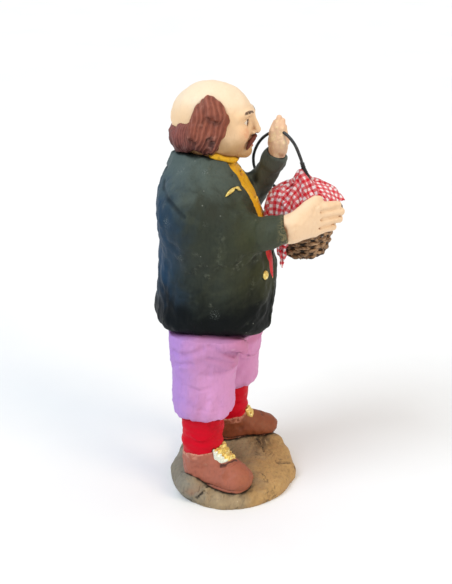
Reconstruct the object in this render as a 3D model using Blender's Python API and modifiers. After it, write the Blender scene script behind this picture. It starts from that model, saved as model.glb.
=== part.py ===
"""Terracotta figurine of a standing man who holds a small wicker basket.

Frame: metres, +Z up, the figure faces -Y, its right hand is at -X, and the
origin is the centre of the base's flat underside. The clay figure is one
fired solid; the basket, its wire handle and its cloth are added to it.
"""

import math

import bmesh
import bpy
from mathutils import Matrix, Vector

MM = 0.001

# ---------------------------------------------------------------- dimensions
BASE_RX, BASE_RY = 39.5, 37.0   # mound, half sizes
BASE_TOP = 9.5                  # height of the ground under the shoes

FOOT_X = 20.3             # ankles stand this far from the middle
FOOT_Y = {-1: 15.0, 1: 6.5}     # the left foot is a little forward
FOOT_SPLAY = math.radians(18)
SHOE_WIDTH = 17.0
SOCK_R, SOCK_TOP = 11.6, 52.0

LEG_X = 17.5
LEG_R_KNEE, LEG_R_HIP = 15.8, 18.6
BREECHES_HEM = 48.0

# the coat: height, back, front, half width
COAT = (
    (93.0, 38.5, -13.5, 27.0),
    (95.5, 41.6, -17.4, 30.5),
    (101.0, 43.2, -20.0, 32.6),
    (110.0, 42.4, -20.6, 33.0),
    (120.0, 41.2, -21.2, 33.0),
    (130.0, 40.2, -20.2, 32.6),
    (140.0, 39.8, -17.6, 32.2),
    (150.0, 40.4, -14.8, 32.2),
    (160.0, 41.0, -11.2, 32.0),
    (168.0, 40.0, -7.2, 30.5),
    (174.0, 38.0, -3.6, 27.0),
    (179.0, 35.2, -0.4, 22.0),
    (183.0, 33.0, 2.4, 17.0),
    (186.5, 31.4, 5.4, 14.0),
)
COAT_POWER = 2.35         # a little squarer than an ellipse

ARM_R = 11.5
CUFF_R = 8.6
RIGHT_ARM = ((-27.0, 19.5, 162.0), (-28.6, 9.0, 149.5), (-26.5, -28.5, 155.0))
LEFT_ARM = ((27.0, 18.0, 162.0), (27.0, -2.0, 152.5), (15.6, -18.6, 180.6))
LEFT_CUFF_R = 5.9

HEAD_C, HEAD_R = (0.0, 12.0, 204.5), (16.0, 20.2, 17.5)
JAW_C, JAW_R = (0.0, 3.0, 195.0), (12.6, 11.0, 10.6)

BASKET_C = (7.0, -36.0, 157.0)  # centre of the rim
BASKET_RX, BASKET_RY = 15.5, 17.6
BASKET_DEPTH = 25.0
BASKET_FOOT = 0.50        # foot size as a share of the rim
BASKET_WALL = 2.0
BASKET_TILT = math.radians(-4)  # the rear end hangs lower

WIRE_R = 0.95
WRAP_R = 1.7

CLOTH_THICK = 0.9


# ------------------------------------------------------------------- helpers
def clear_scene():
    for obj in list(bpy.data.objects):
        bpy.data.objects.remove(obj, do_unlink=True)
    for coll in list(bpy.data.collections):
        bpy.data.collections.remove(coll)


def collection(name):
    coll = bpy.data.collections.new(name)
    bpy.context.scene.collection.children.link(coll)
    return coll


def material(name, colour, roughness, metallic=0.0):
    mat = bpy.data.materials.new(name)
    mat.use_nodes = True
    shader = mat.node_tree.nodes["Principled BSDF"]
    shader.inputs["Base Color"].default_value = (*colour, 1.0)
    shader.inputs["Roughness"].default_value = roughness
    shader.inputs["Metallic"].default_value = metallic
    mat.diffuse_color = (*colour, 1.0)
    return mat


def mesh_object(name, bm, coll, mat=None):
    mesh = bpy.data.meshes.new(name)
    bm.to_mesh(mesh)
    bm.free()
    obj = bpy.data.objects.new(name, mesh)
    coll.objects.link(obj)
    if mat:
        mesh.materials.append(mat)
    mesh.shade_smooth()
    return obj


def helper(obj):
    obj.hide_render = True
    obj.display_type = "WIRE"
    return obj


def vec(p):
    return Vector(p) * MM


def ball(bm, centre, radii, turn=(0.0, 0.0, 0.0), segments=28):
    """An ellipsoid; turn is Euler XYZ in radians."""
    rot = Matrix.Rotation(turn[2], 4, "Z") @ Matrix.Rotation(turn[1], 4, "Y") @ Matrix.Rotation(turn[0], 4, "X")
    size = Matrix.Diagonal((*(r * MM for r in radii), 1.0))
    bmesh.ops.create_uvsphere(
        bm, u_segments=segments, v_segments=segments // 2, radius=1.0,
        matrix=Matrix.Translation(vec(centre)) @ rot @ size,
    )


def limb(bm, a, b, ra, rb, squeeze=1.0, segments=24):
    """A cone with round ends from a to b; squeeze scales it in X about its own middle."""
    a, b = vec(a), vec(b)
    middle = (a + b) / 2
    along = b - a
    turn = along.to_track_quat("Z", "Y").to_matrix().to_4x4()
    size = Matrix.Translation(middle) @ Matrix.Diagonal((squeeze, 1.0, 1.0, 1.0)) @ Matrix.Translation(-middle)
    bmesh.ops.create_cone(
        bm, cap_ends=True, segments=segments, radius1=ra * MM, radius2=rb * MM,
        depth=along.length, matrix=size @ Matrix.Translation(middle) @ turn,
    )
    for p, r in ((a, ra), (b, rb)):
        bmesh.ops.create_uvsphere(
            bm, u_segments=segments, v_segments=segments // 2, radius=r * MM,
            matrix=size @ Matrix.Translation(p),
        )


def loft(bm, rings):
    """A closed body through rings with the same number of points."""
    rows = [[bm.verts.new(p) for p in ring] for ring in rings]
    for low, high in zip(rows, rows[1:]):
        for i in range(len(low)):
            j = (i + 1) % len(low)
            bm.faces.new((low[i], low[j], high[j], high[i]))
    bm.faces.new(list(reversed(rows[0])))
    bm.faces.new(rows[-1])


def oval(z, back, front, half, power, points=40):
    ring = []
    for i in range(points):
        t = 2 * math.pi * i / points
        c, s = math.cos(t), math.sin(t)
        x = math.copysign(abs(c) ** (2 / power), c) * half
        y = math.copysign(abs(s) ** (2 / power), s) * (back - front) / 2 + (back + front) / 2
        ring.append(vec((x, y, z)))
    return ring


def smooth_path(points, count):
    """Points read from a Catmull-Rom curve through the given ones."""
    pts = [Vector(p) for p in points]
    pts = [2 * pts[0] - pts[1]] + pts + [2 * pts[-1] - pts[-2]]
    spans = len(pts) - 3
    out = []
    for k in range(count):
        s = k / (count - 1) * spans
        i = min(int(s), spans - 1)
        t = s - i
        a, b, c, d = pts[i:i + 4]
        out.append(0.5 * ((2 * b) + (c - a) * t + (2 * a - 5 * b + 4 * c - d) * t * t
                          + (3 * b - a - 3 * c + d) * t ** 3))
    return out


def tube(name, path, radii, coll, mat=None, resolution=2):
    curve = bpy.data.curves.new(name, "CURVE")
    curve.dimensions = "3D"
    curve.bevel_depth = 1.0 * MM
    curve.bevel_resolution = resolution
    curve.use_fill_caps = True
    spline = curve.splines.new("POLY")
    spline.points.add(len(path) - 1)
    for point, co, r in zip(spline.points, path, radii):
        point.co = (*(co * MM), 1.0)
        point.radius = r
    obj = bpy.data.objects.new(name, curve)
    coll.objects.link(obj)
    if mat:
        curve.materials.append(mat)
    return obj


def meshed(obj, coll):
    """The curve as a mesh object with its caps welded, for use in a Boolean."""
    bpy.context.view_layer.update()
    evaluated = obj.evaluated_get(bpy.context.evaluated_depsgraph_get())
    mesh = bpy.data.meshes.new_from_object(evaluated)
    bm = bmesh.new()
    bm.from_mesh(mesh)
    bmesh.ops.remove_doubles(bm, verts=bm.verts, dist=1e-6)
    bmesh.ops.recalc_face_normals(bm, faces=bm.faces)
    bm.to_mesh(mesh)
    bm.free()
    name = obj.name
    place = obj.matrix_world.copy()
    bpy.data.objects.remove(obj, do_unlink=True)
    new = bpy.data.objects.new(name, mesh)
    new.matrix_world = place
    coll.objects.link(new)
    return new


def cut(obj, cutter, name):
    mod = obj.modifiers.new(name, "BOOLEAN")
    mod.operation = "DIFFERENCE"
    mod.solver = "EXACT"
    mod.object = cutter


# ------------------------------------------------------------------ the pose
def wire_route():
    """Centre line of the handle: out of the basket's front end, up to the left
    hand, round behind the left forearm and down to the basket's rear end."""
    return (
        (6.0, -48.0, 154.2), (5.4, -46.6, 160.0), (4.4, -43.4, 163.9),
        (3.5, -40.2, 166.9), (3.2, -37.4, 171.6), (3.8, -35.2, 177.4),
        (4.8, -33.0, 184.0), (7.0, -29.2, 191.0), (10.8, -22.8, 194.8),
        (15.0, -17.2, 194.0), (19.5, -11.8, 190.0), (24.0, -7.8, 183.9),
        (28.4, -5.7, 176.4), (32.6, -6.8, 168.6), (33.0, -13.0, 163.2),
        (27.4, -20.2, 161.2), (21.0, -24.8, 161.4), (17.0, -28.4, 159.2),
        (15.6, -29.8, 153.6),
    )


def basket_matrix():
    return (Matrix.Translation(vec(BASKET_C)) @ Matrix.Rotation(BASKET_TILT, 4, "X"))


# ----------------------------------------------------------------- the figure
def foot(bm, side):
    """Shoe and sock; side is -1 for the right foot, 1 for the left."""
    ankle = Vector((side * FOOT_X, FOOT_Y[side], 0.0))
    ahead = Vector((side * math.sin(FOOT_SPLAY), -math.cos(FOOT_SPLAY), 0.0))
    turn = (0.0, 0.0, side * FOOT_SPLAY)
    z = BASE_TOP
    heel = ankle - ahead * 1.0
    toe = ankle + ahead * 19.5
    mid = ankle + ahead * 10.0
    ball(bm, (heel.x, heel.y, z + 5.5), (8.4, 9.4, 8.6), turn)
    ball(bm, (mid.x, mid.y, z + 5.2), (SHOE_WIDTH / 2 - 0.2, 14.0, 9.4), turn)
    ball(bm, (toe.x, toe.y, z + 3.6), (SHOE_WIDTH / 2, 10.6, 7.2), turn)
    limb(bm, (ankle.x, ankle.y, z + 6), (side * (FOOT_X - 0.8), ankle.y - 0.4, SOCK_TOP),
         SOCK_R - 0.9, SOCK_R + 0.4, squeeze=0.94)


def leg(bm, side):
    y = FOOT_Y[side] - 0.6
    hem = (side * (FOOT_X - 0.8), y, BREECHES_HEM + 7.0)
    knee = (side * (FOOT_X - 1.2), y - 0.2, 62.0)
    hip = (side * LEG_X, y - 0.6, 88.0)
    limb(bm, hem, knee, LEG_R_KNEE - 1.6, LEG_R_KNEE, squeeze=0.93)
    limb(bm, knee, hip, LEG_R_KNEE, LEG_R_HIP, squeeze=0.93)
    bmesh.ops.create_cone(
        bm, cap_ends=True, segments=28, radius1=(LEG_R_KNEE - 2.0) * MM,
        radius2=(LEG_R_KNEE - 0.8) * MM, depth=10 * MM,
        matrix=Matrix.Translation(vec((hem[0], hem[1], BREECHES_HEM + 5.0)))
        @ Matrix.Diagonal((0.93, 1.0, 1.0, 1.0)),
    )


def arms(bm):
    shoulder, elbow, cuff = RIGHT_ARM
    limb(bm, shoulder, elbow, ARM_R, ARM_R - 0.6)
    limb(bm, elbow, (-28.4, -12.0, 152.4), ARM_R - 0.6, CUFF_R + 0.6)
    limb(bm, (-28.4, -12.0, 152.4), (-27.2, -23.5, 154.4), CUFF_R + 0.6, CUFF_R)
    shoulder, elbow, cuff = LEFT_ARM
    limb(bm, shoulder, elbow, ARM_R, ARM_R - 1.6)
    limb(bm, elbow, (19.4, -14.2, 173.0), ARM_R - 1.8, LEFT_CUFF_R + 1.1)
    limb(bm, (19.4, -14.2, 173.0), cuff, LEFT_CUFF_R + 1.1, LEFT_CUFF_R)


def hands(bm):
    # right hand, flat against the basket, fingers forward
    limb(bm, (-27.0, -27.0, 155.0), (-23.5, -33.5, 156.8), 5.6, 5.6)
    limb(bm, (-23.5, -33.5, 156.8), (-17.5, -41.0, 158.8), 5.6, 5.0)
    ball(bm, (-20.0, -37.0, 158.4), (4.4, 8.0, 8.8), (0.0, 0.0, -0.7))
    for z0, z1, tip in ((164.2, 165.2, -53.2), (160.4, 161.8, -54.6), (156.6, 158.2, -53.8), (153.0, 154.4, -50.8)):
        limb(bm, (-16.6, -41.5, z0), (-12.8, tip + 2.4, z1), 2.6, 2.2, segments=14)
    limb(bm, (-21.0, -33.0, 161.0), (-16.8, -41.5, 167.0), 3.4, 2.6, segments=16)
    # left hand, closed on the wire, fingers up
    limb(bm, (15.2, -18.8, 182.0), (14.0, -19.6, 188.0), 4.6, 4.8)
    ball(bm, (13.6, -19.9, 191.0), (4.7, 5.0, 7.4))
    limb(bm, (12.2, -17.4, 192.0), (13.0, -19.0, 200.0), 2.9, 2.2, segments=16)
    limb(bm, (14.0, -22.9, 186.5), (13.6, -22.9, 196.0), 2.9, 2.4, segments=16)
    limb(bm, (14.6, -20.2, 190.0), (14.2, -21.0, 199.4), 2.8, 2.4, segments=16)


def head(bm):
    ball(bm, HEAD_C, HEAD_R)
    ball(bm, JAW_C, JAW_R)
    limb(bm, (0.0, 13.5, 178.0), (0.0, 11.5, 194.0), 11.5, 11.0)
    # nose, moustache, chin
    limb(bm, (0.0, -7.4, 202.2), (0.0, -10.4, 197.4), 1.5, 2.1, segments=14)
    for side in (-1, 1):
        limb(bm, (side * 0.8, -9.4, 194.8), (side * 4.6, -7.8, 193.4), 1.7, 1.0, segments=12)
    ball(bm, (0.0, -6.0, 188.0), (4.2, 3.4, 3.2))
    # hair: a roll round the back and a puff over each ear
    for k in range(-6, 7):
        t = k / 6 * math.radians(78)
        ball(bm, (15.2 * math.sin(t), 13.0 + 16.4 * math.cos(t), 194.6), (5.0, 4.6, 6.8), (0, 0, -t), 20)
    for side in (-1, 1):
        ball(bm, (side * 15.2, 9.4, 204.4), (5.0, 7.6, 12.4))
        ball(bm, (side * 14.8, 15.6, 199.0), (5.0, 7.4, 9.0))


def collar(bm):
    for k in range(24):
        t = 2 * math.pi * k / 24
        y = 16.0 - 15.0 * math.cos(t)
        z = 181.2 + 2.6 * (y - 16.0) / 15.0
        ball(bm, (14.4 * math.sin(t), y, z), (3.0, 3.0, 4.0), segments=14)


def make_figure(coll, cutters, mat):
    bm = bmesh.new()
    # the mound
    bmesh.ops.create_cone(
        bm, cap_ends=True, segments=48, radius1=1.0, radius2=0.86, depth=1.0,
        matrix=Matrix.Translation(vec((0, 0, 1.6))) @ Matrix.Diagonal((BASE_RX * MM, BASE_RY * MM, 11.2 * MM, 1)),
    )
    ball(bm, (0, 0, 2.4), (BASE_RX - 1.5, BASE_RY - 1.5, 8.2), segments=40)
    ball(bm, (6.0, -10.0, 4.4), (24.0, 20.0, 6.6))
    for side in (-1, 1):
        foot(bm, side)
        leg(bm, side)
    ball(bm, (0.0, 11.5, 94.0), (31.0, 24.5, 16.0))
    loft(bm, [oval(z, b, f, w, COAT_POWER) for z, b, f, w in COAT])
    arms(bm)
    hands(bm)
    head(bm)
    collar(bm)
    obj = mesh_object("figure", bm, coll, mat)

    skin = obj.modifiers.new("one_skin", "REMESH")
    skin.mode = "VOXEL"
    skin.voxel_size = 1.1 * MM
    soft = obj.modifiers.new("soften", "SMOOTH")
    soft.factor = 0.5
    soft.iterations = 2
    fewer = obj.modifiers.new("fewer_faces", "DECIMATE")
    fewer.ratio = 0.036

    # the flat underside
    bm = bmesh.new()
    bmesh.ops.create_cube(bm, size=1.0, matrix=Matrix.Translation((0, 0, -0.02)) @ Matrix.Diagonal((0.2, 0.2, 0.04, 1)))
    cut(obj, helper(mesh_object("floor_cutter", bm, cutters)), "flat_underside")
    # the way of the wire through the left hand
    path = smooth_path(wire_route(), 52)
    way = tube("wire_way", path, [WIRE_R + 0.45] * len(path), cutters)
    cut(obj, helper(meshed(way, cutters)), "wire_way")
    return obj


# ----------------------------------------------------------------- the basket
def make_basket(coll, cutters, mat):
    """A turned bowl with an open mouth, stretched to an oval and tilted."""
    r, d, w = BASKET_RX, BASKET_DEPTH, BASKET_WALL
    outer = []
    for k in range(8):
        t = math.sin(k / 7 * math.pi / 2)
        share = BASKET_FOOT + (1 - BASKET_FOOT) * math.sqrt(1 - t ** 2.6)
        outer.append((r * share, -d * t))
    inner = [(max(x - w, 0.2), max(z, -d + w)) for x, z in reversed(outer)]
    inner[0] = (outer[-1][0] - w, -d + w)
    profile = [(outer[0][0] - 0.4, 0.6)] + outer + [(0.0, -d), (0.0, -d + w)] + inner + [(outer[0][0] - w + 0.3, 0.6)]
    bm = bmesh.new()
    verts = [bm.verts.new((x * MM, 0, z * MM)) for x, z in profile]
    for a, b in zip(verts, verts[1:] + verts[:1]):
        if a.co.x or b.co.x:
            bm.edges.new((a, b))
    obj = mesh_object("basket", bm, coll, mat)
    turn = obj.modifiers.new("turn", "SCREW")
    turn.axis = "Z"
    turn.angle = 2 * math.pi
    turn.steps = turn.render_steps = 28
    turn.use_merge_vertices = True
    turn.merge_threshold = 1e-6
    turn.use_normal_calculate = True
    obj.matrix_world = basket_matrix() @ Matrix.Diagonal((1.0, BASKET_RY / BASKET_RX, 1.0, 1.0))
    return obj


# ------------------------------------------------------------------ the cloth
def cloth_point(u, v):
    """Where a point of the flat cloth lies, in the basket's own frame: x across,
    y along (front is -y), z up from the rim. The cloth bulges over the mouth,
    peaks beside the handle and hangs over the rim."""
    rx, ry = BASKET_RX + 1.4, BASKET_RY + 1.4
    r = math.hypot(u, v)
    if r < 1e-6:
        t, share = 0.0, 0.0
    else:
        t = math.atan2(v, u)
        reach = 1 / math.hypot(math.cos(t) / rx, math.sin(t) / ry)
        share = r / reach
    inside = min(share, 1.0)
    dome = 2.2 + 6.0 * (1 - inside ** 2.2)
    dome += 9.0 * math.exp(-((u + 2.5) ** 2 + (v - 0.5) ** 2) / 42.0)
    if share <= 1.0:
        x, y, z = u, v, dome
    else:
        over = (share - 1.0) * math.hypot(rx * math.cos(t), ry * math.sin(t))
        edge_x, edge_y = math.cos(t) * reach, math.sin(t) * reach
        out = 0.7 * (1 - math.exp(-over / 3.0))
        drop = max(over - 1.0, 0.0)
        fold = 0.35 * math.sin(9 * t) * min(drop / 6, 1)
        k = 1 + (out + fold - 0.14 * drop) / math.hypot(edge_x, edge_y)
        x, y, z = edge_x * k, edge_y * k, dome - 0.95 * drop
    return x, y, z


def make_cloth(coll, cutters, mat):
    half_u, half_v, n = 25.0, 27.0, 18
    bm = bmesh.new()
    grid = []
    for i in range(n + 1):
        row = []
        for j in range(n + 1):
            row.append(bm.verts.new(Vector(cloth_point(-half_u + 2 * half_u * i / n, -half_v + 2 * half_v * j / n)) * MM))
        grid.append(row)
    for i in range(n):
        for j in range(n):
            bm.faces.new((grid[i][j], grid[i + 1][j], grid[i + 1][j + 1], grid[i][j + 1]))
    obj = mesh_object("cloth", bm, coll, mat)
    obj.matrix_world = basket_matrix()
    thick = obj.modifiers.new("thickness", "SOLIDIFY")
    thick.thickness = CLOTH_THICK * MM
    thick.offset = 1.0
    path = smooth_path(wire_route(), 52)
    way = tube("cloth_wire_way", path, [WRAP_R + 0.6] * len(path), cutters)
    cut(obj, helper(meshed(way, cutters)), "wire_way")
    return obj


# ----------------------------------------------------------------- the handle
def make_handle(coll, mat):
    path = smooth_path(wire_route(), 52)
    radii = []
    for k in range(len(path)):
        t = k / (len(path) - 1)
        wrap = 1.0 if t < 0.27 else max(0.0, 1 - (t - 0.27) / 0.02)
        wrap = max(wrap, 1.0 if t > 0.93 else 0.0)
        radii.append(WIRE_R + (WRAP_R - WIRE_R) * wrap)
    return tube("basket_handle", path, radii, coll, mat)


def main():
    clear_scene()
    parts = collection("terracotta_man_figurine")
    cutters = collection("cutters")
    clay = material("painted_clay", (0.045, 0.065, 0.062), 0.62)
    wicker = material("wicker", (0.30, 0.20, 0.12), 0.75)
    wire = material("black_wire", (0.02, 0.02, 0.022), 0.45, 0.0)
    gingham = material("gingham", (0.72, 0.10, 0.13), 0.85)

    make_figure(parts, cutters, clay)
    make_basket(parts, cutters, wicker)
    make_handle(parts, wire)
    make_cloth(parts, cutters, gingham)


main()
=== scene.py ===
"""Looks of the terracotta figurine: painted clay, woven basket, wire handle and cloth.

Lengths in the shape functions are millimetres in the row frame; meshes are made in metres.
The figure faces -Y and its right hand is at -X.
"""

import math

import bpy
import numpy as np
import openvdb
from mathutils import Matrix, Vector


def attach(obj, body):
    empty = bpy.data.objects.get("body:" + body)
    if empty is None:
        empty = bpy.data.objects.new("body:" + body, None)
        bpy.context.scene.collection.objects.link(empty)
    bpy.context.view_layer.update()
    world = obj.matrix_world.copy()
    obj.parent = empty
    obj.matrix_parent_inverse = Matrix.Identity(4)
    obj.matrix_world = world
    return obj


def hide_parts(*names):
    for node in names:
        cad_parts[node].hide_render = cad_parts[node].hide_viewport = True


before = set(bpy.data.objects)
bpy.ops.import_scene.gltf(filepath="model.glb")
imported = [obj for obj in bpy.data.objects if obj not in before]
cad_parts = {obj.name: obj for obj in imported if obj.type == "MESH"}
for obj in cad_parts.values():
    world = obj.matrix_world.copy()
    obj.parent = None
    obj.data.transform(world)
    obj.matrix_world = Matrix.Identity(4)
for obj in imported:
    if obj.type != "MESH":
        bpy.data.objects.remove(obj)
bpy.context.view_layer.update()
COARSER = 1.2
SCENE = bpy.context.scene
RNG = np.random.default_rng(20817)


# =====================================================================
# camera and light
# =====================================================================
def set_stage():
    cam = bpy.data.cameras.new("camera")
    cam.lens = 60.69
    cam.sensor_width = 36.0
    cam.sensor_fit = "AUTO"
    cam.clip_start = 0.01
    cam.clip_end = 60.0
    obj = bpy.data.objects.new("camera", cam)
    SCENE.collection.objects.link(obj)
    d = Vector((0.9149, 0.1286, -0.3826)).normalized()
    r = Vector((0.1392, -0.9903, 0.0)).normalized()
    u = r.cross(d).normalized()
    r = d.cross(u).normalized()
    m = Matrix(((r.x, u.x, -d.x), (r.y, u.y, -d.y), (r.z, u.z, -d.z))).to_4x4()
    obj.matrix_world = Matrix.Translation((-0.4760, -0.0620, 0.31)) @ m
    SCENE.camera = obj

    world = bpy.data.worlds.new("studio")
    SCENE.world = world
    world.use_nodes = True
    back = world.node_tree.nodes["Background"]
    back.inputs["Color"].default_value = (0.93, 0.96, 1.0, 1.0)
    back.inputs["Strength"].default_value = 0.62
    SCENE.view_settings.view_transform = "Standard"
    SCENE.view_settings.look = "None"
    SCENE.view_settings.exposure = 0.0
    SCENE.view_settings.gamma = 1.0

    def sun(name, towards, colour, strength, angle):
        light = bpy.data.lights.new(name, "SUN")
        light.color = colour
        light.energy = strength
        light.angle = math.radians(angle)
        o = bpy.data.objects.new(name, light)
        SCENE.collection.objects.link(o)
        o.rotation_euler = Vector(towards).to_track_quat("-Z", "Y").to_euler()
        return o

    sun("window", (0.55, -0.62, -0.95), (0.82, 0.92, 1.0), 1.55, 30)
    sun("lamp", (0.45, 0.80, -0.62), (1.0, 0.76, 0.48), 0.95, 26)
    sun("top", (0.10, 0.05, -1.0), (1.0, 0.98, 0.95), 0.50, 60)


# =====================================================================
# shape functions: signed distances, arrays of points in millimetres
# =====================================================================
def A(*v):
    return np.array(v, float)


def ball(P, c, r, turn=None):
    q = P - np.asarray(c, float)
    if turn is not None:
        q = q @ turn
    r = np.asarray(r, float) * np.ones(3)
    a = np.linalg.norm(q / r, axis=1) + 1e-6
    b = np.linalg.norm(q / (r * r), axis=1) + 1e-7
    return a * (a - 1.0) / b


def limb(P, a, b, ra, rb, squeeze=1.0):
    a, b = np.asarray(a, float), np.asarray(b, float)
    if squeeze != 1.0:
        mid = (a + b) / 2
        P = P.copy()
        P[:, 0] = mid[0] + (P[:, 0] - mid[0]) / squeeze
    ab = b - a
    t = np.clip(((P - a) @ ab) / (ab @ ab), 0, 1)
    q = P - a - t[:, None] * ab
    return np.sqrt(np.einsum("ij,ij->i", q, q)) - (ra + (rb - ra) * t)


def thread(P, pts, r=0.0):
    """Distance to a polyline whose radius may change along it."""
    pts = np.asarray(pts, float)
    r = np.asarray(r, float) * np.ones(len(pts))
    best = None
    for i in range(len(pts) - 1):
        d = limb(P, pts[i], pts[i + 1], r[i], r[i + 1])
        best = d if best is None else np.minimum(best, d)
    return best


def drum(P, a, b, r, soft, r2=None):
    """A cylinder from a to b with softened rims."""
    a, b = np.asarray(a, float), np.asarray(b, float)
    ab = b - a
    length = math.sqrt(ab @ ab)
    e = ab / length
    t = (P - a) @ e
    q = P - a - t[:, None] * e
    rad = np.sqrt(np.einsum("ij,ij->i", q, q))
    rr = r if r2 is None else r + (r2 - r) * np.clip(t / length, 0, 1)
    dx = rad - (rr - soft)
    dz = np.abs(t - length / 2) - (length / 2 - soft)
    return np.hypot(np.maximum(dx, 0), np.maximum(dz, 0)) + np.minimum(np.maximum(dx, dz), 0) - soft


def smin(a, b, k):
    h = np.maximum(k - np.abs(a - b), 0) / k
    return np.minimum(a, b) - h * h * k * 0.25


def smax(a, b, k):
    h = np.maximum(k - np.abs(a - b), 0) / k
    return np.maximum(a, b) + h * h * k * 0.25


def melt(parts, k):
    out = parts[0]
    for p in parts[1:]:
        out = smin(out, p, k)
    return out


def bell(d, w):
    return np.exp(-(d / w) ** 2)


def basis(n, up=(0, 0, 1)):
    """Columns: side, up, outward normal."""
    n = np.asarray(n, float)
    n = n / np.linalg.norm(n)
    u = np.asarray(up, float)
    u = u - n * (u @ n)
    u = u / np.linalg.norm(u)
    return np.stack([np.cross(u, n), u, n], axis=1)


def smooth(pts, count):
    pts = np.asarray(pts, float)
    pts = np.vstack([2 * pts[0] - pts[1], pts, 2 * pts[-1] - pts[-2]])
    spans = len(pts) - 3
    out = []
    for k in range(count):
        s = k / (count - 1) * spans
        i = min(int(s), spans - 1)
        t = s - i
        a, b, c, d = pts[i:i + 4]
        out.append(0.5 * ((2 * b) + (c - a) * t + (2 * a - 5 * b + 4 * c - d) * t * t
                          + (3 * b - a - 3 * c + d) * t ** 3))
    return np.array(out)


def natural(xs, ys):
    """A natural cubic spline through a table, sampled finely for np.interp."""
    xs, ys = np.asarray(xs, float), np.asarray(ys, float)
    n = len(xs)
    h = np.diff(xs)
    M = np.eye(n)
    rhs = np.zeros(n)
    for i in range(1, n - 1):
        M[i, i - 1:i + 2] = h[i - 1], 2 * (h[i - 1] + h[i]), h[i]
        rhs[i] = 6 * ((ys[i + 1] - ys[i]) / h[i] - (ys[i] - ys[i - 1]) / h[i - 1])
    m = np.linalg.solve(M, rhs)
    fine = np.linspace(xs[0], xs[-1], 500)
    i = np.clip(np.searchsorted(xs, fine) - 1, 0, n - 2)
    a, b, hh = xs[i + 1] - fine, fine - xs[i], h[i]
    val = (m[i] * a ** 3 + m[i + 1] * b ** 3) / (6 * hh) + (ys[i] / hh - m[i] * hh / 6) * a + (ys[i + 1] / hh - m[i + 1] * hh / 6) * b
    return fine, val


def laid(f, path):
    """The path moved onto the surface of a shape."""
    q = np.array(path, float)
    for _ in range(8):
        g = slopes(f, q, 0.2)
        g /= np.maximum(np.linalg.norm(g, axis=1), 1e-6)[:, None]
        q = q - g * f(q)[:, None]
    return q


class Lumps:
    """Smooth uneven relief: a sum of waves in seeded directions. Values are about -1 to 1."""

    def __init__(self, seed, size, waves=14, stretch=(1, 1, 1)):
        g = np.random.default_rng(seed)
        k = g.normal(size=(waves, 3))
        k /= np.linalg.norm(k, axis=1)[:, None]
        k *= (2 * math.pi / size) * g.uniform(0.6, 1.5, waves)[:, None]
        self.k = (k / np.asarray(stretch, float)).T
        self.p = g.uniform(0, 2 * math.pi, waves)
        self.s = 1.6 / math.sqrt(waves)

    def __call__(self, P):
        return np.sin(P @ self.k + self.p).sum(axis=1) * self.s


L_BIG, L_MID, L_FINE = Lumps(3, 26), Lumps(5, 9), Lumps(8, 3.4, 18)
L_TOOL = Lumps(11, 7, 12, (1, 1, 3.2))


def polygon(x, y, pts):
    """Signed distance to a polygon in the plane."""
    pts = np.asarray(pts, float)
    best = np.full(len(x), 1e9)
    inside = np.zeros(len(x), bool)
    n = len(pts)
    for i in range(n):
        ax, ay = pts[i]
        bx, by = pts[(i + 1) % n]
        ex, ey = bx - ax, by - ay
        t = np.clip(((x - ax) * ex + (y - ay) * ey) / (ex * ex + ey * ey), 0, 1)
        best = np.minimum(best, np.hypot(x - ax - t * ex, y - ay - t * ey))
        cross = ((ay > y) != (by > y)) & (x < (bx - ax) * (y - ay) / (by - ay + 1e-12) + ax)
        inside ^= cross
    return np.where(inside, -best, best)


# =====================================================================
# from a shape function to a mesh
# =====================================================================
SHELLS = []


def slopes(f, P, e=0.06):
    g = np.empty_like(P)
    for k in range(3):
        d = np.zeros(3)
        d[k] = e
        g[:, k] = (f(P + d) - f(P - d)) / (2 * e)
    return g


def surface(f, lo, hi, h):
    h = h * COARSER
    lo, hi = np.asarray(lo, float), np.asarray(hi, float)
    s = 4
    nb = np.ceil((hi - lo) / (h * s)).astype(int) + 1
    ib = np.stack(np.meshgrid(*[np.arange(n) for n in nb], indexing="ij"), -1).reshape(-1, 3)
    mid = lo + (ib * s + (s - 1) / 2) * h
    rough = np.concatenate([f(c) for c in np.array_split(mid, max(1, len(mid) // 60000))])
    grid = np.clip(rough, -3 * h, 3 * h).reshape(nb)
    grid = grid.repeat(s, 0).repeat(s, 1).repeat(s, 2).astype(np.float32)
    live = ib[np.abs(rough) < 0.9 * s * h * 1.25 + 1.6]
    off = np.stack(np.meshgrid(*[np.arange(s)] * 3, indexing="ij"), -1).reshape(-1, 3)
    idx = (live[:, None, :] * s + off[None]).reshape(-1, 3)
    pts = lo + idx * h
    val = np.concatenate([f(c) for c in np.array_split(pts, max(1, len(pts) // 120000))])
    grid[idx[:, 0], idx[:, 1], idx[:, 2]] = np.clip(val, -3 * h, 3 * h)
    vdb = openvdb.FloatGrid(3 * h)
    vdb.copyFromArray(grid)
    vdb.transform = openvdb.createLinearTransform(voxelSize=h)
    co, tris, quads = vdb.convertToPolygons(isovalue=0.0, adaptivity=0.0)
    co = co.astype(float) + lo
    for _ in range(3):
        d = f(co)
        g = slopes(f, co)
        g2 = np.maximum(np.einsum("ij,ij->i", g, g), 0.05)
        step = -(d / g2)[:, None] * g
        size = np.linalg.norm(step, axis=1)
        co += step * np.minimum(1, 0.55 * h / np.maximum(size, 1e-9))[:, None]
    return co, tris.astype(int), quads.astype(int)


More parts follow.
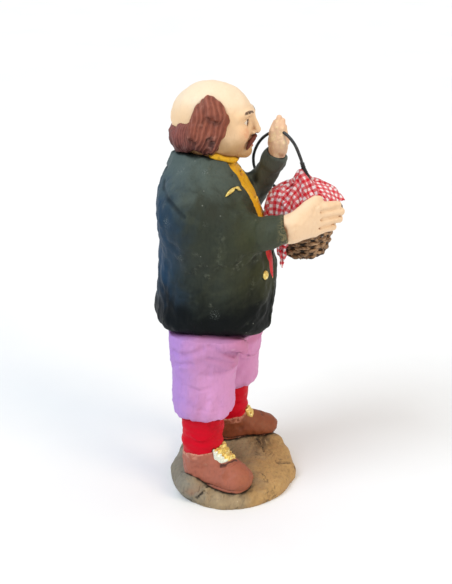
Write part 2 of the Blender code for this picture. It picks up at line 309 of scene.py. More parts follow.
def keep_main(co, tris, quads):
    """Drops crumbs: keeps the largest connected body."""
    n = len(co)
    edges = []
    for faces in (tris, quads):
        if len(faces):
            for a in range(faces.shape[1]):
                edges.append(np.stack([faces[:, a], faces[:, (a + 1) % faces.shape[1]]], 1))
    edges = np.concatenate(edges)
    label = np.arange(n)
    for _ in range(400):
        low = label.copy()
        np.minimum.at(low, edges[:, 0], label[edges[:, 1]])
        np.minimum.at(low, edges[:, 1], label[edges[:, 0]])
        low = low[low]
        low = low[low]
        if (low == label).all():
            break
        label = low
    ids, count = np.unique(label, return_counts=True)
    good = label == ids[count.argmax()]
    if good.all():
        return co, tris, quads
    new = np.cumsum(good) - 1
    tris = new[tris[good[tris].all(1)]] if len(tris) else tris
    quads = new[quads[good[quads].all(1)]] if len(quads) else quads
    return co[good], tris, quads


def mesh_from(name, co, tris, quads, mat=None):
    """co in millimetres. Faces are turned so that the body's volume is positive."""
    tris = np.asarray(tris, int).reshape(-1, 3)
    quads = np.asarray(quads, int).reshape(-1, 4)
    t = np.concatenate([tris, quads[:, [0, 1, 2]], quads[:, [0, 2, 3]]])
    c = co - co.mean(0)
    volume = np.einsum("ij,ij->i", c[t[:, 0]], np.cross(c[t[:, 1]], c[t[:, 2]])).sum()
    if volume < 0:
        tris, quads = tris[:, ::-1], quads[:, ::-1]
    me = bpy.data.meshes.new(name)
    me.vertices.add(len(co))
    me.vertices.foreach_set("co", (co * 0.001).astype(np.float32).ravel())
    loops = np.concatenate([tris.ravel(), quads.ravel()]).astype(np.int32)
    me.loops.add(len(loops))
    me.loops.foreach_set("vertex_index", loops)
    n3, n4 = len(tris), len(quads)
    me.polygons.add(n3 + n4)
    start = np.concatenate([np.arange(n3) * 3, n3 * 3 + np.arange(n4) * 4]).astype(np.int32)
    me.polygons.foreach_set("loop_start", start)
    me.update(calc_edges=True)
    me.validate()
    me.shade_smooth()
    obj = bpy.data.objects.new(name, me)
    SCENE.collection.objects.link(obj)
    if mat:
        me.materials.append(mat)
    return obj


def attribute(obj, name, values):
    at = obj.data.attributes.new(name, "FLOAT", "POINT")
    at.data.foreach_set("value", np.asarray(values, np.float32))


def shell(name, f, lo, hi, h, mat, main=True, marks=None, edge=1.2):
    """A closed body of painted clay, with its paint masks as attributes."""
    co, tris, quads = surface(f, lo, hi, h)
    if main:
        co, tris, quads = keep_main(co, tris, quads)
    obj = mesh_from(name, co, tris, quads, mat)
    g = slopes(f, co, 0.25)
    nrm = g / np.maximum(np.linalg.norm(g, axis=1), 1e-6)[:, None]
    attribute(obj, "edge", np.clip((f(co - nrm * edge) + edge) / edge, 0, 1))
    for key, fn in (marks or {}).items():
        attribute(obj, key, fn(co))
    SHELLS.append({"obj": obj, "f": f, "lo": np.asarray(lo, float), "hi": np.asarray(hi, float), "co": co, "n": nrm})
    return obj


def settle_shade_and_grime():
    """How enclosed each point of the clay is, from the distances to all the shells together: the mask for painted shade
    in the hollows, with some soiling.
    """
    for s in SHELLS:
        total = np.zeros(len(s["co"]))
        for reach, weight in ((0.9, 0.45), (2.6, 0.35), (6.0, 0.20)):
            P = s["co"] + s["n"] * reach
            d = np.full(len(P), reach)
            for o in SHELLS:
                near = ((P > o["lo"] - reach) & (P < o["hi"] + reach)).all(1)
                if near.any():
                    d[near] = np.minimum(d[near], o["f"](P[near]))
            total += weight * np.clip((reach - d) / reach, 0, 1.2)
        attribute(s["obj"], "shade_and_grime", np.clip(total, 0, 1))


# =====================================================================
# materials
# =====================================================================
def lin(r, g, b):
    def one(c):
        c /= 255.0
        return c / 12.92 if c <= 0.04045 else ((c + 0.055) / 1.055) ** 2.4
    return (one(r), one(g), one(b), 1.0)


class Mat:
    """A small helper for node materials."""

    def __init__(self, name):
        self.mat = bpy.data.materials.new(name)
        self.mat.use_nodes = True
        self.nt = self.mat.node_tree
        self.bsdf = self.nt.nodes["Principled BSDF"]
        self.co = self.nt.nodes.new("ShaderNodeTexCoord").outputs["Object"]

    def _put(self, socket, value):
        if isinstance(value, bpy.types.NodeSocket):
            self.nt.links.new(value, socket)
        elif value is not None:
            socket.default_value = value

    def scaled(self, sx, sy, sz, turn=(0, 0, 0)):
        n = self.nt.nodes.new("ShaderNodeMapping")
        self._put(n.inputs["Vector"], self.co)
        n.inputs["Scale"].default_value = (sx, sy, sz)
        n.inputs["Rotation"].default_value = turn
        return n.outputs["Vector"]

    def noise(self, scale, detail=3.0, rough=0.55, warp=0.0, vec=None):
        n = self.nt.nodes.new("ShaderNodeTexNoise")
        self._put(n.inputs["Vector"], self.co if vec is None else vec)
        n.inputs["Scale"].default_value = scale
        n.inputs["Detail"].default_value = detail
        n.inputs["Roughness"].default_value = rough
        n.inputs["Distortion"].default_value = warp
        return n.outputs["Fac"]

    def cells(self, scale, vec=None, feature="F1", out="Distance", jitter=1.0):
        n = self.nt.nodes.new("ShaderNodeTexVoronoi")
        n.feature = feature
        self._put(n.inputs["Vector"], self.co if vec is None else vec)
        n.inputs["Scale"].default_value = scale
        n.inputs["Randomness"].default_value = jitter
        return n.outputs[out]

    def ramp(self, fac, *stops, hard=False):
        n = self.nt.nodes.new("ShaderNodeValToRGB")
        self._put(n.inputs["Fac"], fac)
        n.color_ramp.interpolation = "CONSTANT" if hard else "LINEAR"
        e = n.color_ramp.elements
        while len(e) > 1:
            e.remove(e[-1])
        for i, (pos, col) in enumerate(stops):
            if not hasattr(col, "__len__"):
                col = (col, col, col, 1.0)
            el = e[0] if i == 0 else e.new(pos)
            el.position = pos
            el.color = col
        return n.outputs["Color"]

    def between(self, value, low, high, a=0.0, b=1.0):
        n = self.nt.nodes.new("ShaderNodeMapRange")
        n.interpolation_type = "SMOOTHSTEP"
        self._put(n.inputs["Value"], value)
        n.inputs["From Min"].default_value = low
        n.inputs["From Max"].default_value = high
        n.inputs["To Min"].default_value = a
        n.inputs["To Max"].default_value = b
        return n.outputs["Result"]

    def math(self, op, a, b=None, c=None):
        n = self.nt.nodes.new("ShaderNodeMath")
        n.operation = op
        for i, v in enumerate((a, b, c)):
            if v is not None:
                self._put(n.inputs[i], v)
        return n.outputs[0]

    def mix(self, fac, a, b, kind="MIX"):
        n = self.nt.nodes.new("ShaderNodeMix")
        n.data_type = "RGBA"
        n.blend_type = kind
        n.clamp_factor = True
        self._put(n.inputs[0], fac)
        self._put(n.inputs[6], a)
        self._put(n.inputs[7], b)
        return n.outputs[2]

    def attr(self, name):
        n = self.nt.nodes.new("ShaderNodeAttribute")
        n.attribute_name = name
        return n.outputs["Fac"]

    def axis(self, which):
        n = self.nt.nodes.new("ShaderNodeSeparateXYZ")
        self._put(n.inputs[0], self.co)
        return n.outputs[which]

    def bump(self, height, strength, distance, normal=None):
        n = self.nt.nodes.new("ShaderNodeBump")
        n.inputs["Strength"].default_value = strength
        n.inputs["Distance"].default_value = distance
        self._put(n.inputs["Height"], height)
        if normal is not None:
            self._put(n.inputs["Normal"], normal)
        return n.outputs["Normal"]

    def done(self, colour, rough, normal=None, metallic=None, specular=0.4, sheen=None, coat=None):
        b = self.bsdf
        self._put(b.inputs["Base Color"], colour)
        self._put(b.inputs["Roughness"], rough)
        if normal is not None:
            self._put(b.inputs["Normal"], normal)
        if metallic is not None:
            self._put(b.inputs["Metallic"], metallic)
        b.inputs["Specular IOR Level"].default_value = specular
        if sheen:
            b.inputs["Sheen Weight"].default_value = sheen[0]
            b.inputs["Sheen Roughness"].default_value = sheen[1]
        if coat:
            b.inputs["Coat Weight"].default_value = coat[0]
            b.inputs["Coat Roughness"].default_value = coat[1]
        return self.mat


def painted(name, base, light, dark, wear=None, shade_and_grime=(20, 14, 10), rough=(0.46, 0.7), speck=None, worn=0.5,
            brush=(1.0, 1.0, 0.22), tint=None, mottling=0.6, shade_and_grime_amount=0.85, specular=0.35, more=None, speck_much=0.5, grain=1.0, strokes=1.0):
    """Brushed acrylic paint on clay: streaks, mottling, rubbed edges, painted shade with some soiling in the hollows.
    """
    m = Mat(name)
    big = m.noise(70, 3, 0.6, 0.4)
    streak = m.noise(1.0, 4, 0.6, 0.6, m.scaled(900 * brush[0], 900 * brush[1], 900 * brush[2]))
    grit = m.noise(2300, 3, 0.6)
    col = m.mix(m.between(big, 0.52, 0.74, 0, mottling), lin(*base), lin(*light))
    col = m.mix(m.between(big, 0.46, 0.26, 0, mottling), col, lin(*dark))
    if tint:
        col = tint(m, col, big)
    col = m.mix(m.between(streak, 0.40, 0.72, 0, 0.34 * strokes), col, m.mix(1.0, col, lin(228, 226, 220), "SOFT_LIGHT"))
    col = m.mix(m.between(streak, 0.46, 0.26, 0, 0.38 * strokes), col, m.mix(1.0, col, lin(60, 58, 60), "MULTIPLY"))
    # painted shade in the hollows, from how enclosed each point is, with some soiling
    shade_and_grime_mask = m.attr("shade_and_grime")
    col = m.mix(m.between(m.math("ADD", shade_and_grime_mask, m.math("MULTIPLY", m.math("SUBTRACT", big, 0.5), 0.25)), 0.16, 0.78, 0, shade_and_grime_amount), col, lin(*shade_and_grime))
    if wear:
        rub = m.math("MULTIPLY", m.between(m.attr("edge"), 0.16, 0.5), m.between(m.noise(420, 4, 0.7), 0.47, 0.62))
        col = m.mix(m.math("MULTIPLY", rub, worn), col, lin(*wear))
    if speck:
        dots = m.cells(330, out="Distance")
        pick = m.cells(330, out="Color")
        few = m.between(m.math("MULTIPLY", pick, 1.0), 0.72, 0.80)
        where = m.between(m.noise(60, 2, 0.5), 0.5, 0.62)
        fleck = m.math("MULTIPLY", m.math("MULTIPLY", m.between(dots, 0.16, 0.08), few), where)
        col = m.mix(m.math("MULTIPLY", fleck, speck_much), col, lin(*speck))
    if more:
        col = more(m, col, big, streak)
    tops = m.math("ADD", m.math("MULTIPLY", streak, 0.7), m.math("MULTIPLY", grit, 0.3 * grain))
    n1 = m.bump(tops, 0.5, 0.00022 * (0.35 + 0.65 * strokes))
    n2 = m.bump(m.noise(260, 3, 0.6, 0.3), 0.45, 0.00045, n1)
    ro = m.between(m.math("ADD", m.math("MULTIPLY", streak, 0.6), m.math("MULTIPLY", big, 0.4)), 0.3, 0.7, rough[0], rough[1])
    return m.done(col, ro, n2, specular=specular)


def coat_tint(m, col, big):
    """The green is bluer and fresher behind and olive in front, painted cool and warm light; paler on the shoulders, a
    painted highlight; near black at the hem, painted shade.
    """
    x, y, z = m.axis(0), m.axis(1), m.axis(2)
    blotch = m.math("MULTIPLY", m.math("SUBTRACT", m.noise(55, 3, 0.6, 0.8), 0.5), 0.016)
    yy = m.math("ADD", y, blotch)
    zz = m.math("ADD", z, m.math("MULTIPLY", m.math("SUBTRACT", m.noise(75, 3, 0.6, 0.6), 0.5), 0.03))
    # painted light: bluer behind where the cool light falls, olive in front where the warm light falls
    col = m.mix(m.between(yy, 0.012, 0.040, 0, 0.88), col, lin(22, 58, 88))
    col = m.mix(m.between(yy, 0.006, -0.016, 0, 0.70), col, lin(60, 62, 38))
    # painted highlight on the shoulders, then painted shade near black low on the coat
    col = m.mix(m.between(zz, 0.160, 0.186, 0, 0.68), col, lin(92, 104, 98))
    col = m.mix(m.between(zz, 0.134, 0.108, 0, 0.95), col, lin(2, 6, 8))
    cuff = m.math("MULTIPLY", m.between(y, -0.0120, -0.0175), m.between(z, 0.142, 0.148))
    col = m.mix(m.math("MULTIPLY", cuff, 0.55), col, lin(70, 76, 66))
    # painted highlight on the top of the far sleeve
    sleeve = m.math("MULTIPLY", m.math("MULTIPLY", m.between(x, 0.006, 0.012), m.between(z, 0.152, 0.164)), m.between(y, 0.002, -0.008))
    col = m.mix(m.math("MULTIPLY", sleeve, 0.8), col, lin(92, 101, 95))
    brushed = m.math("MULTIPLY", m.between(y, -0.0235, -0.0275), m.between(m.noise(700, 4, 0.7, 1.0), 0.44, 0.60))
    near = m.math("MULTIPLY", brushed, m.between(z, 0.180, 0.170))
    col = m.mix(m.math("MULTIPLY", near, 0.7), col, lin(137, 126, 92))
    return col


def coat_more(m, col, big, streak):
    """Scuffs of pale clay where the paint is rubbed through, and painted shade along the armhole creases."""
    rub = m.math("MULTIPLY", m.attr("scuff"), m.between(m.noise(1500, 4, 0.75), 0.50, 0.60))
    col = m.mix(m.math("MULTIPLY", rub, 0.30), col, lin(150, 158, 152))
    # painted shade along the armhole creases
    return m.mix(m.between(m.attr("seam"), 1.7, 0.2, 0, 0.8), col, lin(4, 10, 16))


def skin_tint(m, col, big):
    z, y = m.axis(2), m.axis(1)
    wob = m.math("MULTIPLY", m.math("SUBTRACT", m.noise(120, 3, 0.6), 0.5), 0.006)
    zz = m.math("ADD", z, wob)
    # painted highlight on the top of the head and painted shade on the lower face and neck
    col = m.mix(m.between(zz, 0.205, 0.216, 0, 0.65), col, lin(244, 226, 200))
    col = m.mix(m.between(zz, 0.199, 0.188, 0, 0.62), col, lin(176, 128, 66))
    return col


def face_more(m, col, big, streak):
    col = m.mix(m.math("MULTIPLY", m.attr("blush"), m.between(m.noise(500, 3, 0.6), 0.3, 0.7, 0.5, 1.0)), col, lin(228, 122, 62))
    col = m.mix(m.between(m.attr("lips"), 0.25, -0.25, 0, 0.8), col, lin(176, 84, 66))
    hairs = m.between(m.noise(1.0, 3, 0.6, 0, m.scaled(2600, 2600, 700)), 0.38, 0.55, 0.55, 1.0)
    col = m.mix(m.math("MULTIPLY", m.between(m.attr("brow"), 0.22, -0.15), hairs), col, lin(70, 40, 26))
    col = m.mix(m.between(m.attr("lash"), 0.20, -0.12, 0, 0.92), col, lin(52, 28, 20))
    return col


def make_materials():
    M = {}
    # the hollow colour given to each paint below is painted shade with some soiling
    M["coat"] = painted("paint_bottle_green", (49, 54, 46), (66, 70, 56), (25, 31, 29), wear=(120, 124, 108), shade_and_grime=(5, 7, 8),
                        rough=(0.42, 0.66), speck=(178, 182, 172), worn=0.34, tint=coat_tint, more=coat_more, speck_much=0.3, specular=0.10,
                        brush=(1, 1, 0.3), strokes=0.55)
    M["lilac"] = painted("paint_lilac", (188, 132, 178), (200, 146, 192), (168, 112, 162), wear=(226, 190, 214), shade_and_grime=(122, 62, 104),
                         rough=(0.5, 0.72), worn=0.4, tint=lilac_tint, shade_and_grime_amount=0.55, mottling=0.6, strokes=0.3, specular=0.2)
    M["red"] = painted("paint_red", (196, 0, 30), (210, 2, 38), (150, 0, 14), wear=(236, 110, 100), shade_and_grime=(70, 0, 6),
                       rough=(0.4, 0.62), worn=0.25, shade_and_grime_amount=0.9, brush=(0.6, 0.6, 1.0), strokes=0.25, specular=0.12)
    M["waistcoat"] = painted("paint_waistcoat", (236, 180, 28), (246, 196, 52), (206, 144, 20), wear=(246, 214, 120), shade_and_grime=(96, 54, 10),
                             rough=(0.4, 0.62), worn=0.5, tint=vest_tint, shade_and_grime_amount=0.8)
    M["leather"] = painted("paint_brown_shoe", (160, 92, 72), (174, 106, 86), (124, 64, 44), wear=(216, 168, 140), shade_and_grime=(34, 16, 10),
                           rough=(0.42, 0.62), worn=0.4, speck=(222, 190, 170), tint=shoe_tint, shade_and_grime_amount=0.92, more=shoe_more, strokes=0.45)
    M["ground"] = painted("paint_ground", (146, 126, 96), (178, 154, 118), (96, 86, 70), wear=(176, 152, 110), shade_and_grime=(26, 18, 12),
                          rough=(0.5, 0.75), worn=0.4, speck=(222, 206, 172), tint=ground_tint, shade_and_grime_amount=0.9, speck_much=0.8, grain=2.0)
    M["skin"] = painted("paint_skin", (236, 200, 158), (244, 214, 180), (218, 174, 122), wear=(252, 232, 200), shade_and_grime=(150, 88, 38),
                        rough=(0.4, 0.58), worn=0.4, tint=skin_tint, more=face_more, shade_and_grime_amount=0.55, mottling=0.4, strokes=0.22)
    M["hand"] = painted("paint_hand", (236, 204, 168), (244, 218, 188), (220, 176, 132), wear=(253, 236, 208), shade_and_grime=(146, 88, 48),
                        rough=(0.4, 0.58), worn=0.4, shade_and_grime_amount=0.85, mottling=0.4, tint=hand_tint, strokes=0.22)
    M["hair"] = painted("paint_hair", (128, 66, 48), (154, 90, 72), (84, 36, 26), wear=(196, 140, 122), shade_and_grime=(26, 10, 10),
                        rough=(0.42, 0.66), worn=0.3, tint=hair_tint, shade_and_grime_amount=0.9)
    M["tache"] = painted("paint_moustache", (104, 46, 28), (128, 64, 44), (74, 28, 16), wear=(160, 96, 74), shade_and_grime=(54, 20, 12),
                         rough=(0.45, 0.66), worn=0.3, shade_and_grime_amount=0.35, strokes=0.6)
    M["gold"] = gold("gilt_paint")
    M["eye"] = eye_material()
    M["wicker"] = wicker_material()
    M["wire"] = wire_material("black_wire", False)
    M["wrap"] = wire_material("wire_wrapping", True)
    M["gingham"] = gingham_material()
    M["floor"] = floor_material()
    return M


def lilac_tint(m, col, big):
    y, z = m.axis(1), m.axis(2)
    yy = m.math("ADD", y, m.math("MULTIPLY", m.math("SUBTRACT", m.noise(90, 3, 0.6, 0.6), 0.5), 0.012))
    # painted light: cooler lilac behind, pinker in front
    col = m.mix(m.between(yy, 0.012, 0.028, 0, 0.75), col, lin(168, 132, 206))
    col = m.mix(m.between(yy, 0.006, -0.008, 0, 0.6), col, lin(196, 118, 150))
    patch = m.math("MULTIPLY", m.between(z, 0.0795, 0.0765), m.between(yy, 0.016, 0.008))
    col = m.mix(m.math("MULTIPLY", patch, 0.55), col, lin(218, 156, 206))
    return col


def vest_tint(m, col, big):
    z, y = m.axis(2), m.axis(1)
    zz = m.math("ADD", z, m.math("MULTIPLY", m.math("SUBTRACT", m.noise(300, 3, 0.6), 0.5), 0.002))
    low = m.between(zz, 0.1414, 0.1406)
    reds = m.mix(m.between(big, 0.4, 0.6), lin(226, 78, 66), lin(204, 46, 50))
    col = m.mix(low, col, reds)
    mark = m.math("MULTIPLY", m.between(m.attr("mark"), 0.1, -0.6), 0.7)
    return m.mix(mark, col, lin(186, 104, 30))


def shoe_tint(m, col, big):
    x, y, z = m.axis(0), m.axis(1), m.axis(2)
    # painted shade: the far shoe is darker
    col = m.mix(m.between(x, -0.004, 0.010, 0, 0.75), col, lin(112, 52, 16))
    col = m.mix(m.between(m.math("ADD", y, m.math("MULTIPLY", m.math("SUBTRACT", big, 0.5), 0.02)), 0.004, -0.010, 0, 0.55), col, lin(150, 84, 50))
    return col


def shoe_more(m, col, big, streak):
    """A pale rubbed line where the stocking meets the shoe, and painted shade in the cut ahead of the buckle."""
    line = m.math("MULTIPLY", m.between(m.attr("top"), 0.9, 0.2), m.between(m.noise(600, 3, 0.6), 0.36, 0.52))
    col = m.mix(m.math("MULTIPLY", line, 0.75), col, lin(206, 140, 116))
    # painted shade in the cut ahead of the buckle
    return m.mix(m.between(m.attr("slit"), 0.6, 0.1, 0, 0.85), col, lin(36, 10, 6))


def ground_tint(m, col, big):
    x, y, z = m.axis(0), m.axis(1), m.axis(2)
    wob = m.math("MULTIPLY", m.math("SUBTRACT", m.noise(80, 4, 0.65, 1.0), 0.5), 0.03)
    yy = m.math("ADD", y, wob)
    # painted light: greyer behind where the cool light falls, ochre in front where the warm light falls
    col = m.mix(m.between(yy, 0.006, 0.024, 0, 0.75), col, lin(118, 116, 106))
    col = m.mix(m.between(yy, -0.004, -0.022, 0, 0.72), col, lin(186, 144, 84))
    dark = m.between(m.noise(110, 4, 0.7, 1.2), 0.56, 0.72, 0, 0.75)
    col = m.mix(dark, col, lin(60, 50, 36))
    rust = m.math("MULTIPLY", m.between(m.attr("rust"), 1.0, 0.0), m.between(m.noise(240, 3, 0.6), 0.35, 0.6, 0.45, 0.95))
    col = m.mix(rust, col, lin(204, 132, 86))
    soot = m.math("MULTIPLY", m.between(m.attr("soot"), 1.0, 0.0), m.between(m.noise(200, 4, 0.7, 1.0), 0.38, 0.56))
    col = m.mix(m.math("MULTIPLY", soot, 0.8), col, lin(44, 34, 20))
    return m.mix(m.between(m.attr("crack"), 0.9, 0.2, 0, 0.8), col, lin(36, 24, 18))


def hand_tint(m, col, big):
    x, y = m.axis(0), m.axis(1)
    col = m.mix(m.between(x, 0.006, 0.014, 0, 0.5), col, lin(222, 164, 134))
    cream = m.math("MULTIPLY", m.between(x, 0.0, 0.008), m.between(m.noise(330, 3, 0.7), 0.5, 0.62))
    return m.mix(m.math("MULTIPLY", cream, 0.6), col, lin(250, 226, 176))


def hair_tint(m, col, big):
    y, z = m.axis(1), m.axis(2)
    # painted light and shade: mauve behind, near black low down, orange in front
    col = m.mix(m.between(y, 0.016, 0.030, 0, 0.6), col, lin(118, 62, 66))
    col = m.mix(m.between(m.math("ADD", z, m.math("MULTIPLY", m.math("SUBTRACT", big, 0.5), 0.01)), 0.201, 0.188, 0, 0.88), col, lin(52, 18, 24))
    col = m.mix(m.between(y, 0.006, -0.002, 0, 0.5), col, lin(156, 80, 40))
    # painted shade in the grooves between locks and painted highlight on their crests
    col = m.mix(m.between(m.attr("groove"), 0.5, 1.0, 0, 0.26), col, lin(70, 30, 24))
    return m.mix(m.between(m.attr("groove"), 0.22, 0.02, 0, 0.25), col, lin(186, 118, 98))


def gold(name):
    m = Mat(name)
    n = m.noise(500, 4, 0.65, 0.8)
    fine = m.noise(1900, 3, 0.6)
    col = m.ramp(n, (0.28, lin(176, 134, 50)), (0.42, lin(222, 186, 90)), (0.56, lin(246, 222, 130)), (0.72, lin(252, 244, 196)))
    # darker in the hollows: painted shade with some soiling
    col = m.mix(m.between(m.attr("shade_and_grime"), 0.5, 1.0, 0, 0.55), col, lin(96, 60, 18))
    # painted highlight: a whitish corner on the right buckle
    col = m.mix(m.between(m.attr("pale"), 0.6, -0.2, 0, 0.85), col, lin(222, 232, 222))
    bump = m.bump(m.math("ADD", m.math("MULTIPLY", n, 0.7), m.math("MULTIPLY", fine, 0.3)), 0.9, 0.0006)
    return m.done(col, m.between(fine, 0.3, 0.7, 0.28, 0.5), bump, metallic=m.between(n, 0.3, 0.7, 0.25, 0.5), specular=0.5)


def eye_material():
    m = Mat("painted_eye")
    a = m.attr("iris")
    veins = m.noise(900, 2, 0.5)
    white = m.mix(m.between(veins, 0.45, 0.75, 0, 0.35), lin(240, 226, 204), lin(214, 176, 146))
    col = m.mix(m.between(a, 0.66, 0.61), white, lin(40, 22, 14))
    col = m.mix(m.between(a, 0.58, 0.50), col, lin(104, 64, 34))
    col = m.mix(m.between(a, 0.31, 0.26), col, lin(12, 8, 8))
    col = m.mix(m.between(m.attr("glint"), 0.12, 0.08), col, lin(246, 246, 240))
    return m.done(col, 0.22, m.bump(veins, 0.1, 0.0001), specular=0.5)


def wicker_material():
    m = Mat("wicker")
    along = m.attr("along")
    strand = m.attr("strand")
    comb = m.nt.nodes.new("ShaderNodeCombineXYZ")
    m._put(comb.inputs[0], m.math("MULTIPLY", along, 260.0))
    m._put(comb.inputs[1], m.math("MULTIPLY", strand, 7.3))
    m._put(comb.inputs[2], m.math("MULTIPLY", m.attr("round"), 5.0))
    fibre = m.noise(1.0, 4, 0.65, 0.3, comb.outputs[0])
    blot = m.noise(210, 4, 0.65, 0.6)
    col = m.ramp(m.math("ADD", m.math("MULTIPLY", fibre, 0.45), m.math("MULTIPLY", blot, 0.55)),
                 (0.34, lin(24, 14, 10)), (0.43, lin(74, 52, 36)), (0.50, lin(138, 106, 76)), (0.58, lin(176, 142, 108)), (0.70, lin(208, 178, 142)))
    # painted shade where a strand passes behind another
    col = m.mix(m.between(m.attr("recess_shade"), 0.25, 0.75, 0, 0.92), col, lin(14, 8, 6))
    bump = m.bump(fibre, 0.7, 0.00025)
    return m.done(col, m.between(fibre, 0.3, 0.7, 0.5, 0.72), bump, specular=0.35)


def wire_material(name, wrapped):
    m = Mat(name)
    n = m.noise(700, 4, 0.65, 0.3)
    fine = m.noise(3200, 2, 0.5)
    if wrapped:
        col = m.ramp(n, (0.3, lin(12, 11, 12)), (0.6, lin(34, 33, 34)), (0.8, lin(70, 68, 66)))
        rough = m.between(fine, 0.3, 0.7, 0.5, 0.7)
    else:
        col = m.ramp(n, (0.3, lin(20, 21, 23)), (0.55, lin(40, 43, 45)), (0.75, lin(76, 80, 80)))
        rough = m.between(n, 0.3, 0.7, 0.28, 0.46)
    bump = m.bump(m.math("ADD", m.math("MULTIPLY", n, 0.6), m.math("MULTIPLY", fine, 0.4)), 0.4, 0.00015)
    return m.done(col, rough, bump, specular=0.5)


CHECK = 0.0031      # one red and one white stripe together


def gingham_material():
    m = Mat("gingham_cotton")
    u, v = m.attr("flat_u"), m.attr("flat_v")

    def stripe(c):
        wob = m.math("MULTIPLY", m.math("SUBTRACT", m.noise(500, 2, 0.5), 0.5), 0.07)
        f = m.math("FRACT", m.math("ADD", m.math("DIVIDE", c, CHECK), wob))
        up = m.between(f, 0.0, 0.09)
        down = m.between(f, 0.50, 0.59)
        return m.math("SUBTRACT", up, down)

    def yarn(c):
        return m.math("SINE", m.math("MULTIPLY", c, 2 * math.pi / 0.00028))

    su, sv = stripe(u), stripe(v)
    yu, yv = yarn(u), yarn(v)
    over = m.between(m.math("MULTIPLY", yu, yv), -0.25, 0.25)
    warp = m.mix(su, lin(255, 244, 244), lin(222, 10, 38))
    weft = m.mix(sv, lin(255, 244, 244), lin(222, 10, 38))
    woven = m.mix(m.math("ADD", m.math("MULTIPLY", over, 0.5), 0.25), warp, weft)
    half = m.math("ABSOLUTE", m.math("SUBTRACT", su, sv))
    woven = m.mix(m.math("MULTIPLY", half, 0.66), woven, lin(228, 40, 62))
    tone = m.noise(300, 3, 0.6)
    col = m.mix(m.between(tone, 0.4, 0.7, 0, 0.16), woven, m.mix(1.0, woven, lin(214, 190, 196), "MULTIPLY"))
    # painted shade in the folds
    col = m.mix(m.between(m.attr("recess_shade"), 0.3, 0.95, 0, 0.6), col, m.mix(1.0, woven, lin(120, 40, 52), "MULTIPLY"))
    height = m.math("ADD", m.math("ABSOLUTE", yu), m.math("ABSOLUTE", yv))
    n1 = m.bump(height, 0.55, 0.00012)
    n2 = m.bump(m.noise(650, 3, 0.6), 0.35, 0.0003, n1)
    return m.done(col, m.between(tone, 0.3, 0.7, 0.78, 0.92), n2, specular=0.2, sheen=(0.25, 0.5))


def floor_material():
    m = Mat("pale_floor")
    n = m.noise(6, 4, 0.6)
    col = m.mix(m.between(n, 0.3, 0.7), (0.86, 0.86, 0.86, 1), (0.89, 0.89, 0.885, 1))
    return m.done(col, m.between(n, 0.3, 0.7, 0.55, 0.65), m.bump(m.noise(900, 3, 0.6), 0.05, 0.0002), specular=0.2)


# =====================================================================
# the ground under the shoes
# =====================================================================
BASE_TOP = 9.5
CRACKS = [smooth([(-21.0, 27.0, 4.6), (-22.6, 25.1, 5.9), (-25.9, 21.2, 6.6), (-28.3, 18.4, 6.9)], 12),
          smooth([(-29.3, 17.2, 6.9), (-30.6, 14.0, 7.0), (-30.2, 11.2, 7.8)], 8),
          smooth([(20.0, -6.0, 9.6), (13.0, -13.0, 10.0), (6.0, -16.0, 10.4)], 8)]


def ground_bumps(P):
    calm = np.clip((P[:, 2] - 1.0) / 5.0, 0.25, 1)
    out = (0.28 * L_BIG(P) + 0.20 * L_MID(P) + 0.10 * L_FINE(P)) * calm
    for c, depth in zip(laid_cracks(), (1.1, 0.9, 0.5)):
        d = thread(P, c)
        out = out - depth * bell(d, 0.5) + 0.3 * bell(d - 1.2, 0.9)
    return out


CRACKS_DOWN = []


def laid_cracks():
    """The cracks' paths moved onto the mound."""
    if not CRACKS_DOWN:
        CRACKS_DOWN.extend(laid(mound, c) for c in CRACKS)
    return CRACKS_DOWN


def crack_mark(P):
    """Millimetres to the nearest crack."""
    out = np.full(len(P), 9.0)
    for c in laid_cracks():
        out = np.minimum(out, thread(P, c))
    return out


def mound(P):
    x, y, z = P[:, 0], P[:, 1] - 1.5, P[:, 2]
    t = np.arctan2(y, x)
    r = 1 + 0.009 * np.sin(3 * t + 0.6) + 0.007 * np.sin(5 * t - 1.1)
    r = r + 0.055 * bell(np.angle(np.exp(1j * (t + 1.60))), 0.13)
    q = np.hypot(x / 38.6, y / 35.0) / r
    side = (q - 1) * 36.0 + 0.9 * bell(z - 0.5, 2.0)
    d = smax(side, z - (10.4 - 3.4 * np.minimum(q, 1.2) ** 2 + 5.2 * np.clip((P[:, 0] + 2.0) / 22.0, 0, 1)), 8.0)
    heel = ball(P, (-26.4, 19.6, 8.6), (8.2, 8.6, 6.4))
    d = smin(d, heel, 5.0)
    return smin(d, ball(P, (22.0, 13.0, 8.0), (9.0, 9.0, 5.4)), 5.0)


def base(P):
    return smax(mound(P) - ground_bumps(P), 0.02 - P[:, 2], 0.5)


# =====================================================================
# shoes, stockings, breeches
# =====================================================================
FOOT_X, FOOT_Y, SPLAY = 20.3, {-1: 15.0, 1: 6.5}, math.radians(18)


GROUND = {-1: 9.5, 1: 14.2}       # the left foot stands a little higher
TALL = {-1: 1.0, 1: 1.30}


def foot_frame(P, side):
    """Coordinates along the foot, outward and above the ground."""
    ax, ay = side * math.sin(SPLAY), -math.cos(SPLAY)
    px, py = P[:, 0] - side * FOOT_X, P[:, 1] - FOOT_Y[side]
    return np.stack([px * ax + py * ay, side * px * math.cos(SPLAY) + py * math.sin(SPLAY), (P[:, 2] - GROUND[side]) * TALL[side]], 1)


def from_foot(q, side):
    q = np.asarray(q, float)
    ax, ay = side * math.sin(SPLAY), -math.cos(SPLAY)
    return np.stack([side * FOOT_X + q[:, 0] * ax + side * q[:, 1] * math.cos(SPLAY),
                     FOOT_Y[side] + q[:, 0] * ay + q[:, 1] * math.sin(SPLAY), GROUND[side] + q[:, 2] / TALL[side]], 1)


